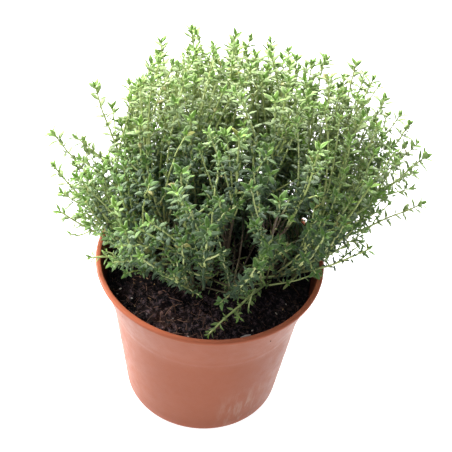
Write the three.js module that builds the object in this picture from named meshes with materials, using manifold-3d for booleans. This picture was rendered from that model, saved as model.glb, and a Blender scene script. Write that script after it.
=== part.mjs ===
import * as THREE from "three";
import { mergeVertices } from "three/addons/utils/BufferGeometryUtils.js";
import Module from "manifold-3d";

// Common thyme in a 12 cm plastic nursery pot. Millimetres, +Z up, with the origin in the middle of the
// pot's flat underside. The bush is made of separate leafy stems that stand in holes in the peat.

// The pot
const POT_HEIGHT = 95;
const RIM_RADIUS = 60;
const COLLAR_RADIUS = 58.3;
const STEP_HEIGHT = 66;
const STEP_RADIUS = 51;
const STEP_PROUD = 0.4;
const BASE_RADIUS = 43;
const BASE_FILLET = 3;
const FILLET_STEPS = 2;
const WALL = 1.2;
const LIP_HEIGHT = 2;
const LIP_ROUND = 0.6;
const POT_SIDES = 33;
const POT_TURN = 0.125;
const SLOT_COUNT = 6;
const SLOT_AZIMUTH = 47.5;
const SLOT_INNER_RADIUS = 34;
const SLOT_WIDTH = 21;
const SLOT_HEIGHT = 1.4;

// The peat
const PEAT_GAP = 0.45;
const PEAT_LEVEL = 82.5;
const PEAT_MOUND = 3;
const PEAT_MOUND_RADIUS = 34;
const PEAT_UNEVEN = 0.7;
const PEAT_WAVE_X = 9;
const PEAT_WAVE_Y = 7;
const PEAT_WAVE_PHASE = 1;
const PEAT_RIPPLE = 0.6;
const PEAT_RIPPLE_LENGTH = 5;
const PEAT_SIDES = 16;
const PEAT_RINGS = [26];

// The crown: the patch of peat that the stems come up from, seen from above, and the point that the
// bush's reach is measured from
const CROWN = new THREE.Vector3(6, 5, 84);
const CROWN_HALF_X = 40;
const CROWN_HALF_Y = 24;
const CROWN_FILLED_TO = 0.7;

// The bush: how far the stems reach and how far they lean, in degrees from upright
const REACH = 122;
const REACH_LOW = 0.58;
const LEAN_SIDE = 76;
const LEAN_FRONT = 50;
const LEAN_BACK = 60;
const FRONT_REACH = 0.78;
const LOW_LEANS = [50, 80];
const FORWARD_LEANS = [20, 60];
const INNER_STEMS = 29;
const INNER_SHORTEST = 0.84;
const TIP_SPACING = 24;
const GOLDEN_ANGLE = 137.5;
const BOW_UPRIGHT = 12;
const BOW_LOW = -16;
const BOW_LEANS = [35, 75];
const LEAST_START_LEAN = 4;
const FOOT_TURN = 10;
const START_TURN = 8;
const KNEE_SHARE = 0.48;
const TIP_SEED = 11;
const STEM_SEED = 11000;
const MOST_DRAWS = 300;

// Stems that draw the bush's outline: azimuth from +X, lean from upright, and reach from the crown
const OUTLINE_STEMS = [
  [176, 74, 79],
  [173, 69, 92],
  [163, 59, 112],
  [151, 64, 82],
  [150, 46, 92],
  [134, 48, 108],
  [124, 36, 121],
  [109, 38, 124],
  [92, 29, 121],
  [77, 38, 117],
  [61, 32, 116],
  [56, 42, 122],
  [39, 37, 127],
  [41, 49, 126],
  [27, 44, 122],
  [25, 55, 123],
  [13, 57, 121],
  [19, 66, 113],
  [6, 66, 110],
];

// Stems that trail, each with its foot in the peat, its knee and its tip
const TRAILING_STEMS = [
  [new THREE.Vector3(33, -4, 0), new THREE.Vector3(26, -30, 108), new THREE.Vector3(2, -50, 90)],
  [new THREE.Vector3(-27, -4, 0), new THREE.Vector3(-38, -12, 105), new THREE.Vector3(-61, -14, 101)],
  [new THREE.Vector3(40, -8, 0), new THREE.Vector3(48, -8, 106), new THREE.Vector3(70, 4, 105)],
];

// A leafy stem
const STEM_RADIUS = 0.8;
const SHOOT_RADIUS = 0.56;
const STEM_STEPS = 4;
const SHOOT_STEPS = 1;
const FOOT_DEPTH = 8;
const HOLE_CLEARANCE = 0.45;
const SHOOT_PLACES = [0.5, 0.7];
const SHOOT_SHARE = 0.17;
const SHOOT_VARIES = 0.2;
const SHOOT_ANGLE = 42;
const SHOOT_BEND = 10;
const PAIR_PLACES = [0.28, 0.43, 0.62, 0.82];
const PAIR_ANGLE = 62;
const TIP_SETBACKS = [5, 1.6];
const TIP_ANGLES = [60, 44];

// A leaf
const LEAF_LENGTH = 6.4;
const LEAF_WIDTH = 3;
const LEAF_THICKNESS = 1.1;
const LEAF_ARCH = 0.4;
const LEAF_BELLY = 0.3;
const LEAF_BALLS = [0.3, 0.55, 0.8];
const LEAF_TURNS = [0, 0.3, -0.3, 0.6, -0.6];

// The section of a leaf is a triangle with its corners on a unit circle: how high and wide that is
const TRIANGLE_HEIGHT = 1.5;
const TRIANGLE_WIDTH = Math.sqrt(3);

// What is kept free between the pieces
const CLEARANCE = 0.3;
const PEAT_CLEARANCE = 1;

// Points closer than this are one corner of a solid
const SAME_CORNER = 1e-4;

// Colours and roughness
const PLASTIC = { color: 0xb06c54, roughness: 0.42 };
const EARTH = { color: 0x1c1512, roughness: 0.95 };
const GREEN = { color: 0x5f8a3c, roughness: 0.6 };

const wasm = await Module();
wasm.setup();

// A repeatable source of numbers from 0 to 1.
function makeRandom(seed) {
  let state = seed >>> 0;
  return () => {
    state = (state + 0x6d2b79f5) >>> 0;
    let t = state;
    t = Math.imul(t ^ (t >>> 15), t | 1);
    t ^= t + Math.imul(t ^ (t >>> 7), t | 61);
    return ((t ^ (t >>> 14)) >>> 0) / 4294967296;
  };
}

function mix(a, b, share) {
  return a + (b - a) * share;
}

function radians(degrees) {
  return THREE.MathUtils.degToRad(degrees);
}

// The unit vector that leans away from upright towards an azimuth, both in degrees.
function leaning(azimuth, lean) {
  const out = Math.sin(radians(lean));
  return new THREE.Vector3(
    out * Math.cos(radians(azimuth)),
    out * Math.sin(radians(azimuth)),
    Math.cos(radians(lean)),
  );
}

function solidOf(geometry) {
  const bare = geometry.clone();
  bare.deleteAttribute("normal");
  bare.deleteAttribute("uv");
  const merged = mergeVertices(bare, SAME_CORNER);
  const mesh = new wasm.Mesh({
    numProp: 3,
    vertProperties: merged.attributes.position.array,
    triVerts: new Uint32Array(merged.index.array),
  });
  return new wasm.Manifold(mesh);
}

function meshOf(solid, name, finish) {
  const made = solid.getMesh();
  const geometry = new THREE.BufferGeometry();
  geometry.setAttribute("position", new THREE.BufferAttribute(made.vertProperties, 3));
  geometry.setIndex(new THREE.BufferAttribute(made.triVerts, 1));
  geometry.computeVertexNormals();
  const material = new THREE.MeshStandardMaterial({ ...finish, metalness: 0 });
  const mesh = new THREE.Mesh(geometry, material);
  mesh.name = name;
  return mesh;
}

// A square bar along a path, with closed ends. The roll turns its faces about the path.
function bar(path, radius, steps, roll) {
  const section = new THREE.Shape();
  for (let i = 0; i < 4; i += 1) {
    const turn = roll + (Math.PI * (2 * i + 1)) / 4;
    const x = radius * Math.cos(turn);
    const y = radius * Math.sin(turn);
    if (i === 0) section.moveTo(x, y);
    else section.lineTo(x, y);
  }
  section.closePath();
  return new THREE.ExtrudeGeometry(section, { steps, extrudePath: path });
}

// The pot's outside radius at a height, between the rounded bottom edge and the lip.
function outsideRadius(z) {
  if (z < STEP_HEIGHT) return mix(BASE_RADIUS, STEP_RADIUS, z / STEP_HEIGHT);
  const collar = (z - STEP_HEIGHT) / (POT_HEIGHT - LIP_HEIGHT - STEP_HEIGHT);
  return mix(STEP_RADIUS, COLLAR_RADIUS, collar);
}

function insideRadius(z) {
  return outsideRadius(z) - WALL;
}

// A pot with a flat floor: up the outside, over the lip and down the inside to the axis again. It is
// turned by an eighth of a side, which keeps its corners off the X and Y axes.
function potBody() {
  const lipBottom = POT_HEIGHT - LIP_HEIGHT;
  const profile = new THREE.Path();
  profile.moveTo(0, 0);
  profile.lineTo(BASE_RADIUS - BASE_FILLET, 0);
  profile.quadraticCurveTo(BASE_RADIUS, 0, outsideRadius(BASE_FILLET), BASE_FILLET);
  profile.lineTo(outsideRadius(STEP_HEIGHT - STEP_PROUD), STEP_HEIGHT - STEP_PROUD);
  profile.lineTo(STEP_RADIUS + STEP_PROUD, STEP_HEIGHT);
  profile.lineTo(COLLAR_RADIUS, lipBottom);
  profile.lineTo(RIM_RADIUS, lipBottom);
  profile.lineTo(RIM_RADIUS, POT_HEIGHT - LIP_ROUND);
  profile.lineTo(RIM_RADIUS - LIP_ROUND, POT_HEIGHT);
  profile.lineTo(insideRadius(lipBottom) + LIP_ROUND, POT_HEIGHT);
  profile.lineTo(insideRadius(lipBottom), POT_HEIGHT - LIP_ROUND);
  profile.lineTo(insideRadius(STEP_HEIGHT), STEP_HEIGHT);
  profile.lineTo(insideRadius(BASE_FILLET + WALL), BASE_FILLET + WALL);
  profile.lineTo(BASE_RADIUS - BASE_FILLET, WALL);
  profile.lineTo(0, WALL);
  const side = (2 * Math.PI) / POT_SIDES;
  const lathe = new THREE.LatheGeometry(profile.getPoints(FILLET_STEPS), POT_SIDES, POT_TURN * side);
  lathe.rotateX(Math.PI / 2);
  return solidOf(lathe);
}

// One drain slot: a low block that reaches from the floor out through the foot of the wall, so that the
// pot's bottom edge stands on the feet between the slots.
function drainSlot(azimuth) {
  const length = BASE_RADIUS + WALL - SLOT_INNER_RADIUS;
  const block = new THREE.BoxGeometry(length, SLOT_WIDTH, 2 * SLOT_HEIGHT);
  block.translate(SLOT_INNER_RADIUS + length / 2, 0, 0);
  block.rotateZ(azimuth);
  return solidOf(block);
}

function pot() {
  let body = potBody();
  for (let i = 0; i < SLOT_COUNT; i += 1) {
    body = body.subtract(drainSlot(radians(SLOT_AZIMUTH + (360 * i) / SLOT_COUNT)));
  }
  return body;
}

// The height of the peat's top: a low mound at the crown, and small waves.
function peatTop(x, y) {
  const away = Math.hypot(x - CROWN.x, y - CROWN.y) / PEAT_MOUND_RADIUS;
  const waves = Math.sin(x / PEAT_WAVE_X + PEAT_WAVE_PHASE) * Math.cos(y / PEAT_WAVE_Y);
  const ripples = PEAT_RIPPLE * Math.sin((x - y) / PEAT_RIPPLE_LENGTH);
  return PEAT_LEVEL + PEAT_MOUND * Math.exp(-away * away) + PEAT_UNEVEN * (waves + ripples);
}

// The plug of peat, clear of the pot all round, with its top raised by the formula above.
function peatBody() {
  const bottom = WALL + PEAT_GAP;
  const chamfer = BASE_FILLET + WALL + PEAT_GAP;
  const edge = insideRadius(PEAT_LEVEL) - PEAT_GAP;
  const profile = [
    new THREE.Vector2(0, bottom),
    new THREE.Vector2(BASE_RADIUS - BASE_FILLET - PEAT_GAP, bottom),
    new THREE.Vector2(insideRadius(chamfer) - PEAT_GAP, chamfer),
    new THREE.Vector2(insideRadius(STEP_HEIGHT) - PEAT_GAP, STEP_HEIGHT),
    new THREE.Vector2(edge, PEAT_LEVEL),
  ];
  for (const radius of [...PEAT_RINGS].reverse()) profile.push(new THREE.Vector2(radius, PEAT_LEVEL));
  profile.push(new THREE.Vector2(0, PEAT_LEVEL));
  const lathe = new THREE.LatheGeometry(profile, PEAT_SIDES);
  lathe.rotateX(Math.PI / 2);
  const place = lathe.attributes.position;
  for (let i = 0; i < place.count; i += 1) {
    const x = place.getX(i);
    const y = place.getY(i);
    const onTop = place.getZ(i) > PEAT_LEVEL - CLEARANCE;
    if (onTop && Math.hypot(x, y) < edge - CLEARANCE) place.setZ(i, peatTop(x, y));
  }
  return solidOf(lathe);
}

// The straight hole that a stem's foot stands in: the stem's own section, wider.
function footHole({ main }) {
  const [foot, next] = main.path.getSpacedPoints(STEM_STEPS);
  const along = next.clone().sub(foot).normalize();
  const bottom = foot.clone().addScaledVector(along, -HOLE_CLEARANCE);
  const top = foot.clone().addScaledVector(along, 2 * FOOT_DEPTH);
  const radius = STEM_RADIUS + HOLE_CLEARANCE * Math.SQRT2;
  return solidOf(bar(new THREE.LineCurve3(bottom, top), radius, 1, main.roll));
}

function peat(stems) {
  let body = peatBody();
  for (const stem of stems) body = body.subtract(footHole(stem));
  return body;
}

// How far from upright a stem may lean at an azimuth: most at the sides, least at the front.
function mostLean(azimuth) {
  const depth = Math.sin(radians(azimuth));
  if (depth < 0) return mix(LEAN_SIDE, LEAN_FRONT, Math.sqrt(-depth));
  return mix(LEAN_SIDE, LEAN_BACK, depth * depth);
}

// The bush's reach: a dome that falls in where the stems lie low, and where they lean to the front.
function reachAt(azimuth, lean) {
  const low = THREE.MathUtils.smoothstep(lean, ...LOW_LEANS);
  const front = Math.sqrt(Math.max(0, -Math.sin(radians(azimuth))));
  const forward = front * THREE.MathUtils.smoothstep(lean, ...FORWARD_LEANS);
  return REACH * mix(1, REACH_LOW, low) * mix(1, FRONT_REACH, forward);
}

// The tip of each rising stem as azimuth, lean and reach: first those of the outline, and then the
// inner ones, spread evenly over the dome by the golden angle wherever no outline stem is close.
function tipPlaces() {
  const places = OUTLINE_STEMS.map(([azimuth, lean, reach]) => ({ azimuth, lean, reach }));
  const outline = places.map(tipPoint);
  for (let i = 0; i < INNER_STEMS; i += 1) {
    const random = makeRandom(TIP_SEED + i);
    const azimuth = (i * GOLDEN_ANGLE) % 360;
    const share = (i + 0.5) / INNER_STEMS;
    const cosine = 1 - share * (1 - Math.cos(radians(mostLean(azimuth))));
    const lean = THREE.MathUtils.radToDeg(Math.acos(cosine));
    const reach = reachAt(azimuth, lean) * mix(INNER_SHORTEST, 1, random());
    const place = { azimuth, lean, reach };
    const tip = tipPoint(place);
    if (outline.every((other) => other.distanceTo(tip) > TIP_SPACING)) places.push(place);
  }
  return places;
}

function tipPoint({ azimuth, lean, reach }) {
  return CROWN.clone().addScaledVector(leaning(azimuth, lean), reach);
}

// The curve as straight pieces of equal length, which is what its tube follows.
function faceted(curve, steps) {
  const joints = curve.getSpacedPoints(steps);
  const path = new THREE.CurvePath();
  for (let i = 0; i < steps; i += 1) path.add(new THREE.LineCurve3(joints[i], joints[i + 1]));
  return path;
}

// A stem that rises from the crown to its tip: it sets out leaning more than it ends if it is an
// upright one, and arches over if it is a low one.
function risingPath({ azimuth, lean, reach }, random) {
  const out = Math.sin(radians(lean)) / Math.sin(radians(mostLean(azimuth)));
  const spread = Math.min(out, 1) * mix(CROWN_FILLED_TO, 1, random());
  const turned = azimuth + mix(-FOOT_TURN, FOOT_TURN, random());
  const x = CROWN.x + CROWN_HALF_X * spread * Math.cos(radians(turned));
  const y = CROWN.y + CROWN_HALF_Y * spread * Math.sin(radians(turned));
  const foot = new THREE.Vector3(x, y, peatTop(x, y));
  const bow = mix(BOW_UPRIGHT, BOW_LOW, THREE.MathUtils.smoothstep(lean, ...BOW_LEANS));
  const heading = azimuth + mix(-START_TURN, START_TURN, random());
  const start = leaning(heading, Math.max(lean + bow, LEAST_START_LEAN));
  const tip = tipPoint({ azimuth, lean, reach });
  const knee = foot.clone().addScaledVector(start, KNEE_SHARE * foot.distanceTo(tip));
  foot.addScaledVector(start, -FOOT_DEPTH);
  return new THREE.QuadraticBezierCurve3(foot, knee, tip);
}

function trailingPath([place, knee, tip]) {
  const foot = new THREE.Vector3(place.x, place.y, peatTop(place.x, place.y));
  const start = knee.clone().sub(foot).normalize();
  foot.addScaledVector(start, -FOOT_DEPTH);
  return new THREE.QuadraticBezierCurve3(foot, knee, tip);
}

// A stretch of stem: its path, the square bar's size and turn, and the frames that the bar follows.
function branch(path, radius, steps, roll) {
  return { path, radius, steps, roll, frames: path.computeFrenetFrames(steps) };
}

// The directions along and above something that grows from a branch at a share of its length: it is
// tilted off the branch by an angle, towards the branch's face that lies a number of quarter turns on.
function tilted({ path, steps, roll, frames }, share, turns, angle) {
  const stem = path.getTangent(share);
  const step = Math.floor(share * steps);
  const turn = roll + (turns * Math.PI) / 2;
  const side = frames.normals[step].clone().multiplyScalar(Math.cos(turn));
  side.addScaledVector(frames.binormals[step], Math.sin(turn));
  side.addScaledVector(stem, -side.dot(stem)).normalize();
  const along = stem.clone().multiplyScalar(Math.cos(radians(angle)));
  along.addScaledVector(side, Math.sin(radians(angle)));
  const up = stem.clone().multiplyScalar(Math.sin(radians(angle)));
  up.addScaledVector(side, -Math.cos(radians(angle)));
  return { along, up };
}

// A side shoot sets out at an angle and bends a little towards its stem's own direction.
function sideShoot(main, share, turns, length, roll) {
  const root = main.path.getPoint(share);
  const start = tilted(main, share, turns, SHOOT_ANGLE + SHOOT_BEND).along;
  const end = tilted(main, share, turns, SHOOT_ANGLE - SHOOT_BEND).along;
  const knee = root.clone().addScaledVector(start, length / 2);
  const tip = knee.clone().addScaledVector(end, length / 2);
  const path = faceted(new THREE.QuadraticBezierCurve3(root, knee, tip), SHOOT_STEPS);
  return branch(path, SHOOT_RADIUS, SHOOT_STEPS, roll);
}

// A stem with its side shoots, which leave it on opposite sides.
function branchedStem(curve, random) {
  const path = faceted(curve, STEM_STEPS);
  const main = branch(path, STEM_RADIUS, STEM_STEPS, 2 * Math.PI * random());
  const shoots = SHOOT_PLACES.map((share, i) => {
    const varied = mix(1 - SHOOT_VARIES, 1 + SHOOT_VARIES, random());
    const length = SHOOT_SHARE * path.getLength() * varied;
    return sideShoot(main, share, 2 * i, length, 2 * Math.PI * random());
  });
  return { main, shoots, leaves: [] };
}

// A leaf is pointed at both ends, widest nearer its root, flat below and ridged above. It lies along
// +X with its root at the origin, and its ends arch down from its middle.
function leafBlade() {
  const blade = new THREE.SphereGeometry(1, 3, 2);
  blade.scale(LEAF_THICKNESS / TRIANGLE_HEIGHT, LEAF_LENGTH / 2, LEAF_WIDTH / TRIANGLE_WIDTH);
  blade.rotateZ(-Math.PI / 2);
  const place = blade.attributes.position;
  for (let i = 0; i < place.count; i += 1) {
    const along = (2 * place.getX(i)) / LEAF_LENGTH;
    const middle = 1 - along * along;
    place.setX(i, place.getX(i) - LEAF_BELLY * middle);
    place.setY(i, place.getY(i) + LEAF_ARCH * middle);
  }
  blade.translate(LEAF_LENGTH / 2, 0, 0);
  return blade;
}

// Where each leaf of a stem grows: opposite pairs, each pair a quarter turn from the last.
function leafPlaces({ main, shoots }) {
  const places = [];
  const pair = (from, share, turns, angle) => {
    places.push({ from, share, turns, angle });
    places.push({ from, share, turns: turns + 2, angle });
  };
  TIP_SETBACKS.forEach((setback, i) => pair(main, 1 - setback / main.path.getLength(), i, TIP_ANGLES[i]));
  for (const shoot of shoots) {
    pair(shoot, 1 - TIP_SETBACKS[1] / shoot.path.getLength(), 0, TIP_ANGLES[1]);
  }
  PAIR_PLACES.forEach((share, i) => pair(main, share, i + 1, PAIR_ANGLE));
  return places;
}

// The balls that a branch or a leaf fills, to keep it clear of the other stems.
function branchBalls({ path, radius }) {
  const count = Math.ceil(path.getLength() / radius);
  return path.getSpacedPoints(count).map((at) => ({ at, radius }));
}

function leafBalls(root, along) {
  return LEAF_BALLS.map((share) => ({
    at: root.clone().addScaledVector(along, share * LEAF_LENGTH),
    radius: LEAF_WIDTH / 2,
  }));
}

function apart(balls, others) {
  return balls.every((a) =>
    others.every((b) => a.at.distanceTo(b.at) > a.radius + b.radius + CLEARANCE),
  );
}

// True where a ball touches neither the peat nor the pot's wall and lip.
function clearOfPot({ at, radius }) {
  const across = Math.hypot(at.x, at.y);
  const reach = radius + CLEARANCE;
  const overPeat = across < insideRadius(PEAT_LEVEL);
  if (overPeat && at.z < peatTop(at.x, at.y) + radius + PEAT_CLEARANCE) return false;
  const besideWall = across > insideRadius(at.z) - reach && across < RIM_RADIUS + reach;
  return at.z > POT_HEIGHT + reach || !besideWall;
}

// The leaves of a stem, each turned about its stem to where it is clear of everything else, or left off.
function placeLeaves(stem, others) {
  const leaves = [];
  for (const { from, share, turns, angle } of leafPlaces(stem)) {
    const root = from.path.getPoint(share);
    for (const turn of LEAF_TURNS) {
      const { along, up } = tilted(from, share, turns + turn, angle);
      const balls = leafBalls(root, along);
      if (!balls.every(clearOfPot) || !apart(balls, others)) continue;
      leaves.push({ root, along, up, balls });
      break;
    }
  }
  return leaves;
}

function leafSolid({ root, along, up }) {
  const across = new THREE.Vector3().crossVectors(along, up);
  const place = new THREE.Matrix4().makeBasis(along, up, across).setPosition(root);
  return solidOf(leafBlade().applyMatrix4(place));
}

function branchSolid({ path, radius, steps, roll }) {
  return solidOf(bar(path, radius, steps, roll));
}

function stemSolid({ main, shoots, leaves }) {
  let solid = branchSolid(main);
  for (const shoot of shoots) solid = solid.add(branchSolid(shoot));
  for (const leaf of leaves) solid = solid.add(leafSolid(leaf));
  return solid;
}

// One stem, drawn again until its shoots rise and it is all clear of the pot, the peat and the stems
// before it.
function drawStem(curveFor, index, others) {
  for (let draw = 0; draw < MOST_DRAWS; draw += 1) {
    const random = makeRandom(STEM_SEED + index * MOST_DRAWS + draw);
    const stem = branchedStem(curveFor(random), random);
    const foot = branchBalls(stem.main);
    const free = foot.splice(Math.ceil((2 * FOOT_DEPTH) / STEM_RADIUS));
    free.push(...stem.shoots.flatMap(branchBalls));
    stem.balls = [...foot, ...free];
    const rises = stem.shoots.every(({ path }) => path.getPoint(1).z > path.getPoint(0).z);
    if (rises && free.every(clearOfPot) && apart(stem.balls, others)) return stem;
  }
  throw new Error("no clear place for stem " + index);
}

// Every stem of the bush, with its leaves kept clear of all the other stems.
function growBush() {
  const curves = TRAILING_STEMS.map((points) => () => trailingPath(points));
  for (const place of tipPlaces()) curves.push((random) => risingPath(place, random));
  const stems = [];
  curves.forEach((curveFor, i) => {
    stems.push(drawStem(curveFor, i, stems.flatMap((stem) => stem.balls)));
  });
  for (const stem of stems) {
    const others = stems.filter((other) => other !== stem).flatMap((other) => other.balls);
    stem.leaves = placeLeaves(stem, others);
    for (const leaf of stem.leaves) stem.balls.push(...leaf.balls);
  }
  return stems;
}

const stems = growBush();
const thyme = new THREE.Group();
thyme.add(meshOf(pot(), "pot", PLASTIC));
thyme.add(meshOf(peat(stems), "peat", EARTH));
stems.forEach((stem, i) => {
  const name = "leafy_stem_" + String(i + 1).padStart(2, "0");
  thyme.add(meshOf(stemSolid(stem), name, GREEN));
});

export default thyme;
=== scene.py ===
"""Common thyme in a 12 cm plastic nursery pot: the looks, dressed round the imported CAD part.

Lengths are millimetres here and become metres in the meshes. The bush is grown along the CAD part's own
stems and shoots, which the same rules and random draws lead to again.
"""

import math
import random

import bpy
import numpy as np
from mathutils import Matrix, Vector, noise


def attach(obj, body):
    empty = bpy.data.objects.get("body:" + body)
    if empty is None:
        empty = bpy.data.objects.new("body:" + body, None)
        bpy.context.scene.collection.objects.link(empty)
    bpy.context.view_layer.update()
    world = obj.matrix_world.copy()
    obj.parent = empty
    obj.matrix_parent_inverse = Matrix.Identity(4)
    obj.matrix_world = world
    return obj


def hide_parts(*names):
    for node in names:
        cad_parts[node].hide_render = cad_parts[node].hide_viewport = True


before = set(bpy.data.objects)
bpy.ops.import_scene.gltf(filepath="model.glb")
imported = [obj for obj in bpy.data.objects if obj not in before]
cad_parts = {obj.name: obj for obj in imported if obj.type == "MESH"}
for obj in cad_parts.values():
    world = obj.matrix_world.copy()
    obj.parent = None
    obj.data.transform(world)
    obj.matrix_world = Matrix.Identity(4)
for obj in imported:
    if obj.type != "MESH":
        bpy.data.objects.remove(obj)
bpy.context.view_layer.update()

MM = 0.001

CAMERA_PLACE = (0.0, -0.39322, 0.49033)
CAMERA_RIGHT = (0.99686, 0.04489, 0.06524)
CAMERA_UP = (-0.07822, 0.68693, 0.7225)
CAMERA_FORWARD = (0.01238, 0.72534, -0.68828)
CAMERA_LENS = 84.56

# The pot and the peat, as in the CAD part
POT_HEIGHT = 95
RIM_RADIUS = 60
COLLAR_RADIUS = 58.3
STEP_HEIGHT = 66
STEP_RADIUS = 51
BASE_RADIUS = 43
BASE_FILLET = 3
WALL = 1.2
LIP_HEIGHT = 2
SLOT_COUNT = 6
SLOT_AZIMUTH = 47.5
SLOT_INNER_RADIUS = 34
SLOT_WIDTH = 21
SLOT_HEIGHT = 1.4
PEAT_GAP = 0.45
PEAT_LEVEL = 82.5
PEAT_MOUND = 3
PEAT_MOUND_RADIUS = 34
PEAT_UNEVEN = 0.7
PEAT_WAVE_X = 9
PEAT_WAVE_Y = 7
PEAT_WAVE_PHASE = 1
PEAT_RIPPLE = 0.6
PEAT_RIPPLE_LENGTH = 5

# The bush, as in the CAD part
CROWN = np.array([6.0, 5.0, 84.0])
CROWN_HALF_X = 40
CROWN_HALF_Y = 24
CROWN_FILLED_TO = 0.7
REACH = 122
REACH_LOW = 0.58
LEAN_SIDE = 76
LEAN_FRONT = 50
LEAN_BACK = 60
FRONT_REACH = 0.78
LOW_LEANS = (50, 80)
FORWARD_LEANS = (20, 60)
INNER_STEMS = 29
INNER_SHORTEST = 0.84
TIP_SPACING = 24
GOLDEN_ANGLE = 137.5
BOW_UPRIGHT = 12
BOW_LOW = -16
BOW_LEANS = (35, 75)
LEAST_START_LEAN = 4
FOOT_TURN = 10
START_TURN = 8
KNEE_SHARE = 0.48
TIP_SEED = 11
STEM_SEED = 11000
MOST_DRAWS = 300
OUTLINE_STEMS = (
    (176, 74, 79), (173, 69, 92), (163, 59, 112), (151, 64, 82), (150, 46, 92), (134, 48, 108),
    (124, 36, 121), (109, 38, 124), (92, 29, 121), (77, 38, 117), (61, 32, 116), (56, 42, 122),
    (39, 37, 127), (41, 49, 126), (27, 44, 122), (25, 55, 123), (13, 57, 121), (19, 66, 113), (6, 66, 110),
)
TRAILING_STEMS = (
    ((33, -4), (26, -30, 108), (2, -50, 90)),
    ((-27, -4), (-38, -12, 105), (-61, -14, 101)),
    ((40, -8), (48, -8, 106), (70, 4, 105)),
)
STEM_RADIUS = 0.8
SHOOT_RADIUS = 0.56
STEM_STEPS = 4
FOOT_DEPTH = 8
SHOOT_PLACES = (0.5, 0.7)
SHOOT_SHARE = 0.17
SHOOT_VARIES = 0.2
SHOOT_ANGLE = 42
SHOOT_BEND = 10

# What only the looks add to the bush. Stems that fork off the CAD part's stems have their tips at the
# azimuth, lean and reach of the rosettes at the front and at the outline, and in fields. A field has a count,
# a first azimuth and a span of it, a least and a most lean, a nearest and a farthest share of the reach, and
# degrees by which it may lean past the usual. The notch thins the outline at the upper left.
FRONT_ROSETTES = (
    (282, 13, 110), (303, 17, 103), (301, 21, 98), (289, 19, 98), (278, 25, 84), (296, 28, 83),
    (241, 29, 101), (236, 50, 91), (264, 26, 90), (245, 14, 112), (271, 28, 83),
    (338, 37, 92), (325, 40, 89), (348, 44, 88), (334, 46, 88), (318, 42, 87), (352, 36, 95), (343, 52, 84),
)
EDGE_ROSETTES = (
    (87, 34, 115), (52, 38, 121), (45, 42, 118), (20, 56, 115), (26, 52, 112), (34, 45, 124), (109, 34, 122),
    (71, 36, 109), (68, 36, 118), (39, 42, 125), (25, 50, 123), (120, 38, 110), (22, 55, 110), (44, 41, 112),
    (28, 50, 117), (17, 60, 99), (40, 44, 108), (51, 41, 105), (85, 34, 120), (62, 38, 111), (76, 34, 120),
    (106, 36, 112), (120, 75, 62), (120, 63, 84), (125, 68, 74), (119, 52, 100), (88, 72, 67), (100, 66, 78),
    (112, 70, 70), (60, 70, 72), (132, 60, 84), (74, 60, 84), (46, 62, 84), (158, 59, 95), (159, 58, 102),
    (164, 63, 94), (170, 70, 85), (156, 61, 90), (146, 64, 84), (18, 56, 121), (4, 78, 60), (7, 74, 66),
    (0, 80, 56), (65, 49, 104), (122, 76, 62), (123, 70, 70), (116, 72, 60), (130, 68, 66),
    (83, 71, 64), (55, 59, 89), (121, 67, 76), (126, 75, 56), (55, 74, 60), (53, 55, 97), (124, 64, 80),
    (105, 57, 94), (57, 64, 80), (58, 70, 67), (88, 61, 84), (85, 67, 72), (119, 70, 66),
)
FILLER_FIELDS = (
    (100, 60, 360, 0, 90, 0.6, 0.9, 0),
    (195, 5, 170, 4, 64, 0.7, 0.96, 0),
    (85, 15, 150, 22, 64, 0.42, 0.66, 0),
    (85, 22, 140, 44, 78, 0.4, 0.68, 18),
    (30, 148, 70, 46, 82, 0.6, 0.96, 8),
    (24, 10, 160, 58, 84, 0.55, 0.9, 16),
)
FILLER_SEED, FRONT_SEED, RUNNER_SEED, LOOKS_SEED = 31, 41, 42, 7000
NOTCH_ANGLE = 137
NOTCH_WIDTH = 13
NOTCH_DEPTH = 0.13
FILLER_SPACING = 6
FILLER_TRIES = 9
FILLER_TURN = 16
FILLER_TILT = 6
LOW_FILLER_REACH = 0.9
LOW_FILLER_LEANS = (35, 60)
COVER_CELL = 5
COVER_FROM = 0.45
COVER_SPOTS = 9
FRONT_LESS = 8
# Feet, knees and tips of stems at the front, points along the runners over the peat, and the ends and radius
# of the hollows, which are capsules without leaves, in which stems take the dark wood colour as painted shade
FRONT_STEMS = (
    ((-1, 8), (-7, -40, 150), (-17, -52, 185)), ((-3, 4), (-12, -43, 144), (-28, -57, 170)),
    ((-4, 0), (-20, -43, 143), (-33, -54, 163)), ((6, 21), (4, -28, 148), (2, -46, 176)),
    ((-1, 6), (-6, -39, 148), (-11, -52, 176)), ((-5, 22), (0, -29, 143), (5, -46, 169)),
    ((30, 37), (37, -9, 148), (47, -29, 168)), ((46, 12), (45, -20, 132), (45, -33, 150)),
    ((50, 14), (51, -18, 134), (50, -31, 154)), ((-16, -13), (-23, -52, 134), (-31, -64, 155)),
    ((-10, 5), (-24, -39, 141), (-41, -58, 155)),
    ((-12, 0), (-29, -44, 134), (-44, -59, 145)),
)
RUNNERS = (
    ((19, 1, 95), (11, -6, 98), (3, -17, 98), (-7, -25, 96)),
    ((31, -4, 98), (23, -8, 99), (15, -9, 97), (7, -19, 95)),
    ((40, -12, 97), (29, -16, 99), (18, -19, 98), (8, -22, 95)),
    ((27, -9, 94), (32, -7, 99), (38, -5, 105), (42, -3, 109)),
    ((38, -6, 95), (41, -8, 102), (43, -8, 105), (47, -7, 103), (47, -7, 98)),
    ((24, -24, 98), (22, -31, 100), (21, -36, 99), (21, -38, 96)),
    ((3, -17, 94), (10, -22, 96), (19, -22, 97), (27, -18, 96)),
    ((31, -19, 96), (37, -19, 98), (45, -17, 99), (53, -13, 100)),
)
HOLLOWS = (
    ((12, 0, 112), (10, -45, 155), 7.5),
    ((17, -8, 108), (14, -55, 150), 7),
    ((32, 9, 111), (28, -40, 160), 6.5),
    ((43, 8, 109), (38, -40, 155), 5),
)


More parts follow.
